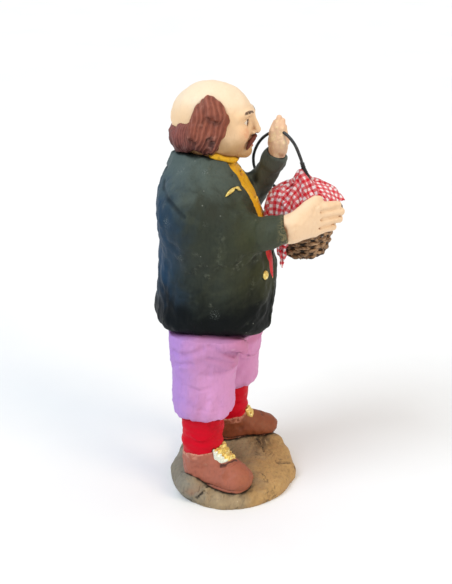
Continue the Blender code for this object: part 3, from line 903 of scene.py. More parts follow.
def shoe_at(side):
    slit = smooth([(x, y, 12.4) for x, y in SLIT_LINE], 12)

    def plain(P):
        q = foot_frame(P, side)
        return melt([limb(q, (-1.0, 0, 4.0), (-0.2, 0, 18.6), 9.4, 10.6),
                     ball(q, (9.0, 0, 5.2), (13.5, 8.6, 9.2)),
                     ball(q, (18.8, 0, 4.4), (10.6, 9.0, 8.0)),
                     limb(q, (2.0, 0, 17.0), (14.0, 0, 9.4), 7.6, 6.4)], 4.5)
    slit = laid(plain, from_foot(slit, side))
    seam = smooth([(-6.0, 9.6, 11.0), (0.0, 10.6, 13.6), (6.0, 9.6, 12.4)], 8)

    def f(P):
        q = foot_frame(P, side)
        body = plain(P)
        sole = q[:, 2] - 1.5 + 0.03 * q[:, 0]
        body = body - 0.45 * bell(sole + 2.0, 1.6) + 0.6 * bell(sole, 0.5)
        body = body + 1.1 * bell(thread(P, slit), 0.55)
        body = body + 0.22 * bell(thread(q, seam), 0.7)
        body = smax(body, q[:, 2] - 19.4 - 0.16 * q[:, 0], 2.4)
        return body - 0.16 * L_MID(P) - 0.07 * L_FINE(P)
    return f


SLIT_LINE = [(14.0, 6.2), (16.4, 5.0), (18.6, 2.0), (19.6, -2.4)]


def slit_shade_mark(P, side):
    """Millimetres to the cut ahead of the buckle, for the painted shade in it."""
    q = foot_frame(P, side)[:, :2]
    cut = np.array(SLIT_LINE)
    d = np.full(len(P), 9.0)
    for a, b in zip(cut[:-1], cut[1:]):
        t = np.clip(((q - a) @ (b - a)) / ((b - a) @ (b - a)), 0, 1)[:, None]
        d = np.minimum(d, np.linalg.norm(q - a - t * (b - a), axis=1))
    return d


def plate_at(side):
    """The gilt buckle on the instep: a crinkled patch raised from the shoe."""
    shoe = shoe_at(side)
    outline = [(18.8, -2.8), (17.6, 2.2), (14.4, 5.4), (10.4, 6.6), (7.4, 4.0), (7.0, -2.2), (9.2, -6.4), (14.6, -7.0)]
    if side > 0:
        outline = [(14.6, -3.2), (13.0, 0.2), (10.6, 1.6), (8.4, 0.2), (7.6, -3.0), (9.6, -6.0), (13.2, -6.0)]
    crinkle = Lumps(31, 2.6, 16)

    def f(P):
        q = foot_frame(P, side)
        flat = polygon(q[:, 0], q[:, 1], outline)
        d = smax(shoe(P) - 1.0 - 0.28 * crinkle(P), flat, 0.8)
        d = smax(d, -(shoe(P) + 2.0), 0.6)
        return smax(d, 8.0 - q[:, 2], 1.0)
    return f


def sock_at(side):
    x0, y0 = side * FOOT_X, FOOT_Y[side]
    wr = Lumps(40 + side, 5.0, 12, (3.0, 3.0, 0.8))
    wrinkle = smooth([(x0 - 9.4, y0 + 4, 39.5), (x0 - 10.6, y0 - 1, 37.6), (x0 - 8.6, y0 - 7.0, 40.2)], 8)

    def f(P):
        low, high = (x0, y0, 25.0), (side * (FOOT_X - 0.8), y0 - 0.4, 54.0)
        d = limb(P, low, high, 10.3, 11.9, 0.95)
        z = P[:, 2]
        d = d - 0.45 * bell(z - 33.0, 2.6) + 0.3 * bell(z - 36.5, 1.6)
        d = d - 0.5 * bell(thread(P, wrinkle), 1.0) + 0.3 * bell(thread(P, wrinkle + A(0, 0, -1.8)), 0.8)
        d = d - 0.10 * L_MID(P) - 0.14 * wr(P)
        return smax(smax(d, 25.5 - z, 1.0), z - 56.0, 1.0)
    return f


LEG_X, R_KNEE, R_HIP, HEM = 17.5, 15.8, 18.6, 49.0
CREASES = {
    # path, depth, width
    -1: [([(-24.0, 30.5, 88.6), (-31.0, 24.0, 88.0), (-34.5, 17.0, 90.8), (-34.2, 12.0, 93.6)], 0.9, 1.3),
         ([(-31.7, 9.0, 95.0), (-31.6, 4.0, 92.4), (-28.5, -1.0, 88.6), (-24.8, -4.0, 86.0)], 1.0, 1.1),
         ([(-33.4, 9.4, 88.4), (-32.0, 4.0, 86.0), (-28.0, -0.5, 83.0), (-24.6, -2.6, 80.6)], 0.8, 1.1),
         ([(-32.6, 6.0, 79.8), (-30.4, 2.0, 79.0), (-25.0, -1.4, 77.4), (-19.0, -3.2, 77.2)], 0.55, 0.8),
         ([(-24.0, 26.5, 79.0), (-30.0, 24.0, 82.6), (-33.4, 18.0, 84.4)], 0.6, 1.2),
         ([(-33.8, 14.0, 58.6), (-32.8, 8.0, 57.4), (-28.0, 2.4, 58.4), (-21.0, -0.4, 60.6)], 0.35, 0.7),
         ([(-33.6, 20.0, 71.0), (-34.6, 15.0, 69.6), (-34.0, 9.0, 71.0)], 0.35, 0.9)],
    1: [([(5.5, -4.0, 71.6), (10.5, -8.2, 70.2), (16.0, -10.6, 70.0), (22.0, -10.4, 71.4)], 0.9, 0.6),
        ([(6.0, -4.0, 86.0), (12.0, -9.6, 84.0), (20.0, -12.0, 84.6)], 0.7, 1.0),
        ([(33.0, 2.0, 82.0), (35.0, 8.0, 79.0), (34.0, 16.0, 80.0)], 0.7, 1.1),
        ([(32.0, 0.0, 60.0), (30.0, -5.0, 58.0), (24.0, -9.0, 58.6)], 0.4, 0.8)],
}


def leg_at(side):
    y = FOOT_Y[side] - 0.6
    x1 = side * (FOOT_X - 0.9)

    def plain(P):
        return smin(limb(P, (x1, y, 52.0), (x1 - side * 0.2, y - 0.1, 62.0), R_KNEE - 0.2, R_KNEE, 0.93),
                    limb(P, (x1 - side * 0.2, y - 0.2, 62.0), (side * LEG_X, y - 0.8, 92.0), R_KNEE, R_HIP + 0.2, 0.93), 3.0)
    creases = [(laid(plain, smooth(path, 14)), depth, width) for path, depth, width in CREASES[side]]

    def f(P):
        z = P[:, 2]
        d = plain(P) - 0.5 * bell(z - 54.0, 5.0)
        for path, depth, width in creases:
            t = thread(P, path)
            d = d + depth * bell(t, width) - 0.45 * depth * bell(t - 2.0 * width, 1.5 * width)
        hem = HEM + 0.35 * np.sin(3 * np.arctan2(P[:, 1] - y, P[:, 0] - x1) + side)
        return smax(d, hem - z, 5.0)
    return f


BULGE = smooth([(-29.4, 8.0, 95.0), (-29.2, 2.0, 94.8), (-27.0, -3.0, 93.8), (-23.4, -6.0, 91.8), (-22.2, -6.6, 89.0)], 10)
RIGHT_LEG, LEFT_LEG = leg_at(-1), leg_at(1)


def breeches(P):
    d = smin(RIGHT_LEG(P), LEFT_LEG(P), 3.0)
    d = smin(d, ball(P, (0.0, 11.5, 95.0), (29.5, 23.5, 14.0)), 4.0)
    bulge = thread(P, BULGE, np.linspace(4.7, 3.0, 10))
    d = smin(d, bulge, 1.6)
    band = thread(P, smooth([(-20.5, 28.0, 93.0), (-27.6, 22.4, 92.2), (-31.0, 15.4, 93.4), (-30.8, 9.0, 94.4)], 10), 3.0)
    d = smin(d, band + 1.2, 2.0)
    d = d - 0.22 * L_MID(P) - 0.08 * L_FINE(P) - 0.12 * L_TOOL(P)
    d = d + 8.0 * np.clip((P[:, 2] - hem_height(P[:, 0], P[:, 1]) + 1.5) / 3.0, 0, 1)
    return smax(d, P[:, 2] - 104.0, 2.0)


# =====================================================================
# coat
# =====================================================================
COAT = np.array([
    (84.0, 40.6, -18.0, 31.4),
    (93.0, 42.0, -19.0, 32.2),
    (101.0, 43.0, -20.0, 32.8), (110.0, 42.4, -20.6, 33.0), (120.0, 41.2, -21.2, 33.0),
    (130.0, 40.2, -20.2, 32.6), (140.0, 39.8, -17.6, 32.2), (150.0, 40.4, -14.8, 32.2), (160.0, 41.0, -11.2, 32.0),
    (168.0, 40.0, -7.2, 30.5), (174.0, 38.0, -3.6, 27.0), (179.0, 35.2, -0.4, 22.0), (183.0, 33.0, 2.4, 17.0),
    (186.5, 31.4, 5.4, 14.0), (190.0, 30.4, 8.0, 12.0)])
T_B, T_F, T_W = (natural(COAT[:, 0], COAT[:, i] - (1.2 if i == 1 else 0.0)) for i in (1, 2, 3))
POWER = 2.35


def trunk(P, grow=0.0):
    x, y, z = P.T

    def share(z):
        zc = np.clip(z, 84.0, 190.0)
        b, fr, w = (np.interp(zc, *t) for t in (T_B, T_F, T_W))
        ly, cy = (b - fr) / 2, (b + fr) / 2
        ux, uy = np.abs(x) / w + 1e-6, np.abs(y - cy) / ly + 1e-6
        k = (ux ** POWER + uy ** POWER) ** (1 / POWER)
        return k, ux, uy, w, ly
    k, ux, uy, w, ly = share(z)
    kz = (share(z + 0.5)[0] - share(z - 0.5)[0])
    gx = k ** (1 - POWER) * ux ** (POWER - 1) / w
    gy = k ** (1 - POWER) * uy ** (POWER - 1) / ly
    return (k - 1) / np.sqrt(gx * gx + gy * gy + kz * kz + 1e-9) - grow


R_ARM = [(-25.0, 19.5, 160.0), (-26.2, 9.0, 150.6), (-27.2, -4.0, 151.2), (-27.4, -15.0, 153.2)]
L_ARM = [(25.5, 18.0, 160.5), (26.6, 1.0, 152.6), (24.8, -6.0, 159.6), (19.6, -13.6, 172.2), (16.6, -17.6, 178.6)]
R_CUFF = (A(-27.3, -14.6, 153.2), A(-26.6, -28.6, 156.6))
L_CUFF = (A(17.8, -16.2, 176.2), A(14.9, -19.6, 183.2))
CREASE_BACK = smooth([(-16.0, 35.0, 176.0), (-22.0, 32.4, 172.6), (-28.6, 28.4, 169.8), (-32.6, 23.6, 166.4), (-34.8, 19.8, 163.2)], 18)
CREASE_FAR = CREASE_BACK * A(-1, 1, 1)
SLOT = smooth([(-33.0, 8.8, 111.4), (-33.0, 6.0, 110.9), (-32.4, 3.4, 110.6)], 6)
NICKS = [((-17.6, 25.1, 181.4), 3.2), ((-34.0, 28.4, 159.8), 3.0), ((-32.4, 22.9, 141.5), 2.4), ((-32.0, 26.0, 117.7), 1.9),
         ((-31.0, 31.0, 168.0), 2.2), ((-33.0, 6.0, 112.0), 3.0), ((-36.0, 10.0, 160.0), 2.0), ((-20.0, -16.0, 119.0), 2.0),
         ((-20.0, 12.0, 181.0), 2.6), ((12.0, 38.0, 168.0), 3.0), ((33.0, 20.0, 150.0), 3.0), ((10.0, 42.0, 120.0), 2.6), ((-8.0, 42.6, 140.0), 2.4)]
NEAR_EDGE = smooth([(-10.0, 8.3, 186.2), (-8.6, 3.8, 182.8), (-7.6, -1.4, 177.2), (-7.8, -5.6, 171.0), (-9.4, -8.6, 164.6), (-10.6, -11.2, 157.7),
                    (-11.4, -15.5, 148.0), (-11.3, -18.2, 133.4), (-9.6, -19.7, 125.8), (-8.4, -20.6, 119.0), (-8.0, -20.8, 110.0), (-8.0, -19.6, 93.0)], 44)
FAR_EDGE = smooth([(10.8, 8.3, 186.2), (10.6, 4.4, 182.8), (11.6, 0.2, 177.2), (12.0, -3.8, 171.0), (11.8, -7.4, 164.6), (11.0, -10.8, 157.7),
                   (9.4, -15.4, 148.0), (2.4, -18.4, 138.0), (-4.8, -19.8, 130.0), (-8.8, -20.2, 124.5), (-8.4, -20.8, 117.0), (-8.2, -19.6, 93.0)], 44)


LAID = []


def laid_creases():
    """The armhole creases, laid on the coat's own surface the first time they are asked for."""
    if not LAID:
        LAID.extend(laid(sleeved, path) for path in (CREASE_BACK, CREASE_FAR))
    return LAID


def sleeved(P):
    return smin(smin(trunk(P), thread(P, R_ARM, [11.2, 10.6, 8.8, 7.2]), 15.0), thread(P, L_ARM[:3], [11.3, 9.6, 7.4]), 4.5)


def edge_x(z, path):
    order = np.argsort(path[:, 2])
    return np.interp(z, path[order, 2], path[order, 0])


def hem_height(x, y):
    """The coat's lower edge: low in front, higher at the sides and behind."""
    m = np.maximum(np.clip((np.abs(x) - 12.0) / 17.0, 0, 1), 0.62 * np.clip((y - 5.0) / 28.0, 0, 1))
    return 93.0 + 5.0 * m * m * (3 - 2 * m) + 0.3 * np.sin(x * 0.21 + y * 0.15)


def coat(P):
    x, y, z = P.T
    d = trunk(P)
    d = smax(d, z - 187.0, 3.0)
    # the shoulders and sleeves
    right = thread(P, R_ARM, [11.2, 10.6, 8.8, 7.2])
    d = smin(d, right, 15.0)
    left = thread(P, L_ARM, [11.3, 9.7, 7.8, 6.3, 5.6])
    d = smin(d, left, 4.5)
    d = smin(d, drum(P, L_CUFF[0], L_CUFF[1], 6.1, 1.3, 5.9), 1.5)
    # the stand collar, higher at the back
    ex, ey = x / 14.9, (y - 16.0) / 15.6
    ring = (np.sqrt(ex * ex + ey * ey + 1e-9) - 1) * 15.0
    zc = 182.0 + 0.5 * (y - 16.0) / 15.0
    lean = ring + 0.30 * (z - zc)
    q1, q2 = np.abs(lean + 0.2) - 0.7, np.abs(z - zc) - 3.0
    collar = np.hypot(np.maximum(q1, 0), np.maximum(q2, 0)) + np.minimum(np.maximum(q1, q2), 0) - 0.9
    collar = smax(collar, 3.5 - y, 1.0)
    d = smin(d, collar, 1.6)
    d = d + 0.5 * bell(np.hypot(lean - 1.9, z - zc + 4.2), 1.0) * (y > 0)
    # armhole creases
    for path in laid_creases():
        t = thread(P, path)
        fade = 1 - 0.8 * np.clip((path[0, 1] - 17.0 - (y - 0)) / 18.0, 0, 1)
        d = d + (1.4 * bell(t, 0.9) + 0.6 * bell(t, 2.8)) * fade
    # the turned cuff stands clear of the sleeve
    d = smin(d, drum(P, R_CUFF[0], R_CUFF[1], 8.4, 1.6, 7.5), 1.2)
    # soft folds at the elbow, under the arm and in the skirt
    for path, depth, width in FOLDS:
        d = d + depth * bell(thread(P, path), width)
    # pocket slot
    d = d + 0.5 * bell(thread(P, SLOT), 0.6)
    # front edges: the cloth's thickness over the waistcoat
    ahead = y < 8
    near = thread(P, NEAR_EDGE)
    far = thread(P, FAR_EDGE)
    step = (z > 122) & (x > edge_x(z, NEAR_EDGE)) & (x < edge_x(z, FAR_EDGE)) & ahead
    width = np.minimum(x - edge_x(z, NEAR_EDGE), edge_x(z, FAR_EDGE) - x)
    d = d + np.where(step, 1.5 * np.clip(width / 0.9, 0, 1), 0.0)
    d = d - 0.35 * (bell(near - 0.9, 1.0) + bell(far - 0.9, 1.0)) * np.where(step, 0.0, 1.0)
    below = (z < 117) & (np.abs(x + 8.0) < 2.5) & ahead
    d = d + np.where(below, 0.7 * bell(x + 8.0, 0.55), 0)
    d = d - 0.30 * L_BIG(P) - 0.20 * L_MID(P) - 0.05 * L_FINE(P) - 0.09 * L_TOOL(P)
    hem = hem_height(x, y)
    return smax(d, hem - z, 7.0)


FOLDS = [([(-33.0, 12.0, 134.0), (-32.0, 2.0, 138.0), (-27.0, -10.0, 142.0)], 0.35, 3.0),
         ([(-37.0, 0.0, 160.0), (-34.0, -7.0, 158.6), (-30.0, -12.6, 161.6)], 0.35, 1.5),
         ([(-30.0, 30.0, 140.0), (-33.2, 22.0, 150.0), (-36.6, 15.0, 156.0)], 0.35, 2.6),
         ([(34.0, 12.0, 141.0), (32.0, 0.0, 141.0), (27.0, -10.0, 146.0)], 0.7, 2.4),
         ([(35.0, -1.0, 157.0), (32.0, -7.0, 160.0), (26.0, -12.0, 158.0)], 0.6, 1.2),
         ([(-6.0, 42.0, 172.0), (-3.0, 42.6, 150.0), (0.0, 42.6, 120.0), (2.0, 43.0, 98.0)], 0.4, 3.4),
         ([(14.0, -22.0, 130.0), (22.0, -18.0, 118.0), (26.0, -12.0, 104.0)], 0.4, 2.6)]
FOLDS = [(smooth(p, 12), d, w) for p, d, w in FOLDS]


def scuff_mask(P):
    out = np.zeros(len(P))
    for c, r in NICKS:
        q = (P - A(*c)) * A(1, 1, 0.8)
        out = np.maximum(out, 1 - np.clip(np.linalg.norm(q, axis=1) / r, 0, 1))
    return np.clip(out * 1.6, 0, 1)


def waistcoat(P):
    """The waistcoat in the coat's opening, and its band round the neck."""
    x, y, z = P.T
    body = trunk(P) + 0.3
    mid = (edge_x(z, NEAR_EDGE) + edge_x(z, FAR_EDGE)) / 2
    half = (edge_x(z, FAR_EDGE) - edge_x(z, NEAR_EDGE)) / 2
    crown = 0.9 * np.clip(1 - ((x - mid) / np.maximum(half, 1.5)) ** 2, 0, 1)
    strip = smax(body - crown, np.abs(x - mid) - half - 1.2, 1.2)
    strip = smax(strip, 123.0 - z, 1.5)
    strip = smax(strip, z - 185.5, 2.0)
    strip = smax(strip, y - 6.0, 1.0)
    strip = smax(strip, -(trunk(P) + 4.5), 1.0)
    t = np.linspace(-1.3, 1.3, 26)
    neck = np.stack([12.3 * np.sin(t), 13.4 - 13.2 * np.cos(t), 184.0 + 5.0 * (1 - np.cos(t))], 1)
    band = thread(P, neck, 2.1)
    d = smin(strip, band, 1.4)
    for zc in (176.0, 163.0, 150.5):
        yc = np.interp(zc, *T_F)
        d = smin(d, ball(P, (-1.0, yc - 0.9, zc), (1.7, 1.0, 1.7)), 0.5)
    return d - 0.10 * L_MID(P) - 0.05 * L_FINE(P)


def crease_shade_mark(P):
    """Millimetres to the nearer armhole crease, where painted shade is laid."""
    return np.minimum(*[thread(P, path) for path in laid_creases()])


def vest_mark(P):
    return np.linalg.norm(P - A(-2.0, -3.0, 176.0), axis=1) - 1.3


def on_trunk(p):
    """The nearest point of the coat and its outward normal."""
    q = np.array([p], float)
    for _ in range(6):
        g = slopes(coat, q, 0.2)
        g /= np.linalg.norm(g)
        q = q - g * coat(q)[:, None]
    g = slopes(trunk, q, 0.6)
    return q[0], (g / np.linalg.norm(g))[0]


def gilt():
    """The coat button and the crescent at the breast pocket."""
    items = []
    p, n = on_trunk((-17.4, -17.1, 128.6))
    items.append(("button", p, basis(n)))
    for x in (-18.4,):
        p, n = on_trunk((x, -0.8, 172.4))
        items.append(("crescent", p, basis(n)))

    def f(P):
        out = np.full(len(P), 50.0)
        for kind, c, B in items:
            q = (P - c) @ B
            if kind == "button":
                d = ball(q, (0, 0, 0.15), (2.35, 2.35, 1.15))
                ring = np.hypot(q[:, 0], q[:, 1])
                d = d + 0.30 * bell(ring, 0.55) + 0.22 * bell(ring - 1.25, 0.3)
            else:
                side = 1 if c[0] < 0 else -1
                u, v = q[:, 0] * side, q[:, 1] * 1.75 + 0.5
                moon = polygon(u, v, CRESCENT)
                near = np.linalg.norm(P - c, axis=1) < 9
                q1 = np.full(len(P), 9.0)
                q1[near] = np.abs(coat(P[near]) - 0.15) - 0.65
                d = smax(moon - 0.1, q1, 0.5) - 0.10 * L_FINE(P)
            out = np.minimum(out, d)
        return out
    return f, items


CRESCENT = [(-6.4, -2.6), (-5.4, -0.8), (-3.6, 0.8), (-1.2, 2.0), (1.4, 2.5), (3.4, 2.1), (4.6, 0.6), (5.2, -1.4), (5.4, -2.6),
            (3.6, -2.2), (2.8, -0.2), (1.8, 0.9), (0.6, 0.4), (-0.8, -0.8), (-2.6, -1.8), (-4.4, -2.3)]


# =====================================================================
# head, hair, hands
# =====================================================================
EYES = {s: A(s * 5.7, -3.9, 203.3) for s in (-1, 1)}
EYE_R = 3.0


def head(P):
    x, y, z = P.T
    d = ball(P, (0, 12, 204.5), (16.0, 20.2, 17.5))
    d = smin(d, ball(P, (0, 3.6, 195.4), (12.8, 11.2, 10.8)), 6.0)
    d = smin(d, limb(P, (0, 13.5, 178.0), (0, 11.5, 194.0), 11.4, 11.0), 4.0)
    d = smin(d, ball(P, (0, -4.2, 187.8), (5.0, 4.0, 3.8)), 3.5)
    for s in (-1, 1):
        d = smin(d, ball(P, (s * 7.6, -3.0, 198.0), (4.6, 4.0, 3.8)), 4.0)
        brow = thread(P, [(s * 2.4, -7.4, 206.4), (s * 6.4, -6.4, 207.4), (s * 10.2, -2.6, 205.8)], [1.5, 1.7, 1.2])
        d = smin(d, brow, 2.6)
        d = smax(d, -ball(P, (s * 5.4, -9.8, 203.8), (4.4, 3.2, 2.6)), 2.4)
        lids = ball(P, EYES[s], EYE_R + 0.55)
        d = smin(d, lids, 0.8)
        u = (x - EYES[s][0]) / 3.2
        slit = (np.abs(z - 203.2 - 0.25 * s * u) - 1.35 * (1 - u * u)) * 0.85
        d = smax(d, -np.maximum(slit, y + 3.6), 0.35)
        lid_line = thread(P, [(s * 2.6, -6.0, 205.0), (s * 5.7, -7.2, 205.9), (s * 8.8, -5.0, 205.0)])
        d = d + 0.35 * bell(lid_line, 0.5)
    nose = limb(P, (0, -7.4, 205.6), (0, -10.8, 198.6), 1.25, 1.95)
    nose = smin(nose, ball(P, (0, -10.5, 198.2), (2.1, 2.0, 1.9)), 1.0)
    for s in (-1, 1):
        nose = smin(nose, ball(P, (s * 2.0, -8.8, 197.4), (1.4, 1.7, 1.35)), 0.9)
    d = smin(d, nose, 1.6)
    for s in (-1, 1):
        d = smax(d, -ball(P, (s * 1.1, -10.2, 196.0), (0.6, 0.9, 0.7)), 0.5)
        d = d + 0.28 * bell(thread(P, [(s * 3.6, -8.0, 197.0), (s * 5.4, -7.0, 194.0), (s * 6.0, -6.0, 191.6)]), 0.9)
    lips = np.minimum(thread(P, [(-3.6, -6.9, 192.1), (-1.2, -8.1, 192.9), (0, -8.0, 192.6), (1.2, -8.1, 192.9), (3.6, -6.9, 192.1)], [0.5, 0.9, 0.85, 0.9, 0.5]),
                      thread(P, [(-3.0, -6.7, 191.1), (0, -7.9, 190.6), (3.0, -6.7, 191.1)], [0.5, 1.1, 0.5]))
    d = smin(d, lips, 0.9)
    d = d + 0.5 * bell(thread(P, [(-4.0, -6.9, 191.8), (0, -8.6, 191.8), (4.0, -6.9, 191.8)]), 0.38)
    d = d - 0.14 * L_BIG(P) - 0.08 * L_MID(P) - 0.03 * L_FINE(P)
    return d


def brow_mark(P):
    d = np.minimum(*[thread(P, [(s * 2.8, -9.0, 207.7), (s * 5.4, -8.6, 208.5), (s * 8.2, -6.2, 208.0), (s * 10.2, -4.0, 206.3)], [0.55, 0.75, 0.6, 0.2]) for s in (-1, 1)])
    return d - 0.1


def lash_mark(P):
    out = np.full(len(P), 9.0)
    for s in (-1, 1):
        u = (P[:, 0] - EYES[s][0]) / 3.2
        rim = np.abs(P[:, 2] - (203.2 + 0.25 * s * u + 1.35 * (1 - u * u)))
        out = np.minimum(out, np.where((np.abs(u) < 1.05) & (P[:, 1] < -4), rim - 0.42, 9.0))
    return out


def lip_mark(P):
    return np.minimum(thread(P, [(-3.4, -7.0, 192.2), (-1.2, -8.6, 192.9), (1.2, -8.6, 192.9), (3.4, -7.0, 192.2)], [0.2, 0.65, 0.65, 0.2]),
                      thread(P, [(-3.0, -6.9, 191.1), (0, -8.6, 190.7), (3.0, -6.9, 191.1)], [0.2, 0.75, 0.2]))


def blush_mark(P):
    return np.maximum(*[np.exp(-((P[:, 0] - s * 8.8) ** 2 / 9 + (P[:, 2] - 198.6) ** 2 / 7 + (P[:, 1] + 4.6) ** 2 / 16)) for s in (-1, 1)]) * 0.8


ROLL = [(14.8 * math.sin(t), 13.0 + 15.6 * math.cos(t), 194.6 + 2.8 * abs(math.sin(t)) ** 2, t) for t in np.linspace(-1.40, 1.40, 15)]
CURLS = [(14.3, 11.8, 201.6, 5.3), (13.6, 11.6, 193.8, 5.2), (15.0, 11.0, 212.2, 5.0), (15.4, 7.0, 209.8, 4.2), (15.4, 5.2, 205.0, 3.6), (15.2, 6.6, 200.6, 3.6), (15.0, 8.6, 196.4, 3.4),
         (14.2, 5.2, 199.6, 1.9), (14.4, 10.2, 192.8, 2.8), (14.8, 14.4, 207.4, 5.2), (15.0, 15.0, 201.4, 5.8), (14.6, 13.6, 195.6, 5.0)]


def hair_parts(P):
    parts = []
    for x0, y0, z0, t in ROLL:
        c, s = math.cos(-t), math.sin(-t)
        R = np.array([[c, -s, 0], [s, c, 0], [0, 0, 1]])
        parts.append(ball(P, (x0, y0, z0), (4.4, 4.4, 6.9), R))
    d = melt(parts, 2.4)
    for s in (-1, 1):
        side = melt([ball(P, (s * a, b, c), (r * 0.92, r, r * 1.05)) for a, b, c, r in CURLS], 2.6)
        d = smin(d, side, 1.4)
    return d


def strands(P):
    """0 on a lock's crest, 1 in the groove between two."""
    x, y, z = P.T
    t = np.arctan2(x, y - 13.0)
    back = 0.5 + 0.5 * np.sin(82 * t + 0.9 * np.sin(z * 0.5) + 0.9 * L_MID(P))
    flow = 0.5 + 0.5 * np.sin(2.5 * (0.95 * (y - 0.02 * (z - 203) ** 2) + 0.25 * z) + 1.3 * L_MID(P) + 0.5 * np.sin(z * 0.5))
    w = np.clip((np.abs(t) - 1.05) / 0.4, 0, 1)
    g = back * (1 - w) + flow * w
    return g ** 1.8


def hair(P):
    d = hair_parts(P)
    d = d + 0.16 * strands(P) - 0.42 * L_MID(P) - 0.10 * L_FINE(P)
    return smax(d, -(ball(P, (0, 12, 204.5), (13.5, 17.5, 15.0))), 1.0)


def moustache(P):
    parts = []
    for s in (-1, 1):
        parts.append(thread(P, smooth([(s * 0.6, -9.4, 195.3), (s * 3.0, -9.2, 194.7), (s * 4.9, -8.1, 193.3), (s * 6.1, -7.0, 191.4), (s * 6.4, -6.3, 189.8)], 9),
                            [0.9, 1.05, 1.2, 1.25, 1.2, 1.05, 0.9, 0.7, 0.45]))
    d = np.minimum(*parts)
    x, y, z = P.T
    ridges = np.sin(3.4 * (np.abs(x) * 0.55 + (z - 195) * 0.9) + 0.6 * L_MID(P))
    return d + 0.12 * ridges - 0.05 * L_FINE(P)


def right_hand(P):
    knuckles = [(-17.4, -41.6, 165.0), (-17.2, -42.6, 161.4), (-17.2, -42.6, 157.4), (-17.6, -41.4, 153.2)]
    tips = [(-11.4, -51.6, 165.0), (-11.0, -53.4, 161.6), (-11.4, -52.8, 158.0), (-12.6, -49.8, 154.2)]
    d = limb(P, (-26.4, -25.0, 157.4), (-24.4, -32.0, 158.6), 4.6, 4.4)
    d = smin(d, limb(P, (-26.4, -25.0, 153.0), (-24.4, -32.0, 153.6), 4.4, 4.2), 3.0)
    for k, (kx, ky, kz) in enumerate(knuckles):
        start = (-25.0 + 0.1 * k, -30.0, 158.6 - 1.6 * k)
        d = smin(d, limb(P, start, (kx - 0.6, ky + 0.6, kz), 4.2, 3.0), 2.6)
    for (k, t) in zip(knuckles, tips):
        k, t = A(*k), A(*t)
        bend = k + (t - k) * 0.55 + A(-0.7, 0.2, 0.3)
        finger = thread(P, [k, bend, t], [2.55, 2.3, 2.0])
        finger = smin(finger, ball(P, k + A(-0.9, 0.2, 0.2), 2.5), 1.2)
        d = smin(d, finger, 0.9)
        nail = ball(P, t + A(-1.5, -0.4, 0.6), (1.0, 1.4, 1.1))
        d = d + 0.22 * bell(nail - 0.1, 0.3)
    for a, b in zip(knuckles, knuckles[1:]):
        m = (A(*a) + A(*b)) / 2
        d = d + 1.15 * bell(thread(P, [m + A(-2.2, 1.0, 0.2), m + A(-1.4, -3.0, 0.3), m + A(3.2, -10.0, 0.6)]), 0.62)
    thumb = thread(P, [(-23.6, -32.0, 160.6), (-20.0, -37.4, 165.6), (-16.6, -41.0, 168.4), (-15.0, -42.6, 168.2)], [3.6, 3.2, 2.5, 2.1])
    d = smin(d, thumb, 1.8)
    d = d + 0.3 * bell(thread(P, [(-22.0, -40.4, 163.6), (-21.0, -41.6, 166.2), (-19.0, -43.0, 167.0)]), 0.7)
    for dy in (0.0, 1.6):
        d = d + 0.12 * bell(thread(P, [(-28.8, -31.0 + dy, 160.0), (-29.0, -31.4 + dy, 156.0), (-28.4, -31.0 + dy, 151.6)]), 0.4)
    return d - 0.07 * L_MID(P) - 0.04 * L_FINE(P)


def left_hand(P):
    d = limb(P, (15.6, -18.6, 180.0), (14.4, -19.6, 187.0), 4.3, 4.7)
    d = smin(d, ball(P, (13.8, -19.8, 190.6), (4.3, 4.9, 6.4)), 2.2)
    fingers = [[(12.2, -17.0, 190.6), (11.8, -17.2, 195.2), (13.2, -18.6, 199.4)],
               [(12.0, -19.2, 191.6), (11.6, -19.4, 197.2), (13.2, -20.2, 201.6)],
               [(12.4, -21.6, 191.4), (12.0, -21.8, 196.4), (13.4, -21.8, 200.0)],
               [(13.2, -23.6, 189.6), (13.0, -23.4, 193.8), (14.0, -22.8, 196.8)]]
    for pts in fingers:
        d = smin(d, thread(P, pts, [2.1, 1.9, 1.5]), 0.6)
    thumb = thread(P, [(11.8, -22.4, 185.2), (10.6, -22.8, 189.2), (11.4, -22.2, 192.6)], [2.4, 2.1, 1.7])
    d = smin(d, thumb, 1.0)
    for arc in ([(9.4, -19.0, 190.2), (9.2, -21.2, 191.4), (10.0, -23.2, 191.0)], [(10.6, -20.6, 185.2), (10.2, -22.8, 186.2), (11.2, -24.0, 185.6)],
                [(10.0, -17.2, 193.0), (9.6, -19.2, 193.6), (9.8, -20.8, 193.2)]):
        d = d + 0.32 * bell(thread(P, smooth(arc, 6)), 0.4)
    return d - 0.08 * L_MID(P) - 0.05 * L_FINE(P)


# =====================================================================
# basket, handle
# =====================================================================
B_C, B_RX, B_RY, B_DEPTH, B_FOOT, B_TILT = A(7.0, -36.0, 157.0), 15.5, 17.6, 25.0, 0.50, math.radians(-4)


def basket_to_world(Q):
    c, s = math.cos(B_TILT), math.sin(B_TILT)
    R = np.array([[1, 0, 0], [0, c, -s], [0, s, c]])
    return Q @ R.T + B_C


def basket_share(z):
    """Radius as a share of the rim's, from height below the rim (z is 0 at the rim, negative below)."""
    t = np.clip(-np.asarray(z, float) / B_DEPTH, 0, 1)
    return B_FOOT + (1 - B_FOOT) * np.sqrt(np.maximum(1 - t ** 2.6, 0))


def basket_lean(Q):
    """Below the rim the woven walls draw in at the front, where the basket is pressed in."""
    k = np.clip(-Q[:, 2] / (0.34 * B_DEPTH), 0, 1)
    k = (k * k * (3 - 2 * k))[:, None]
    return basket_to_world(Q * (1 - k * A(0.04, 0.13, 0.0)) + k * A(0, 2.2, 0))


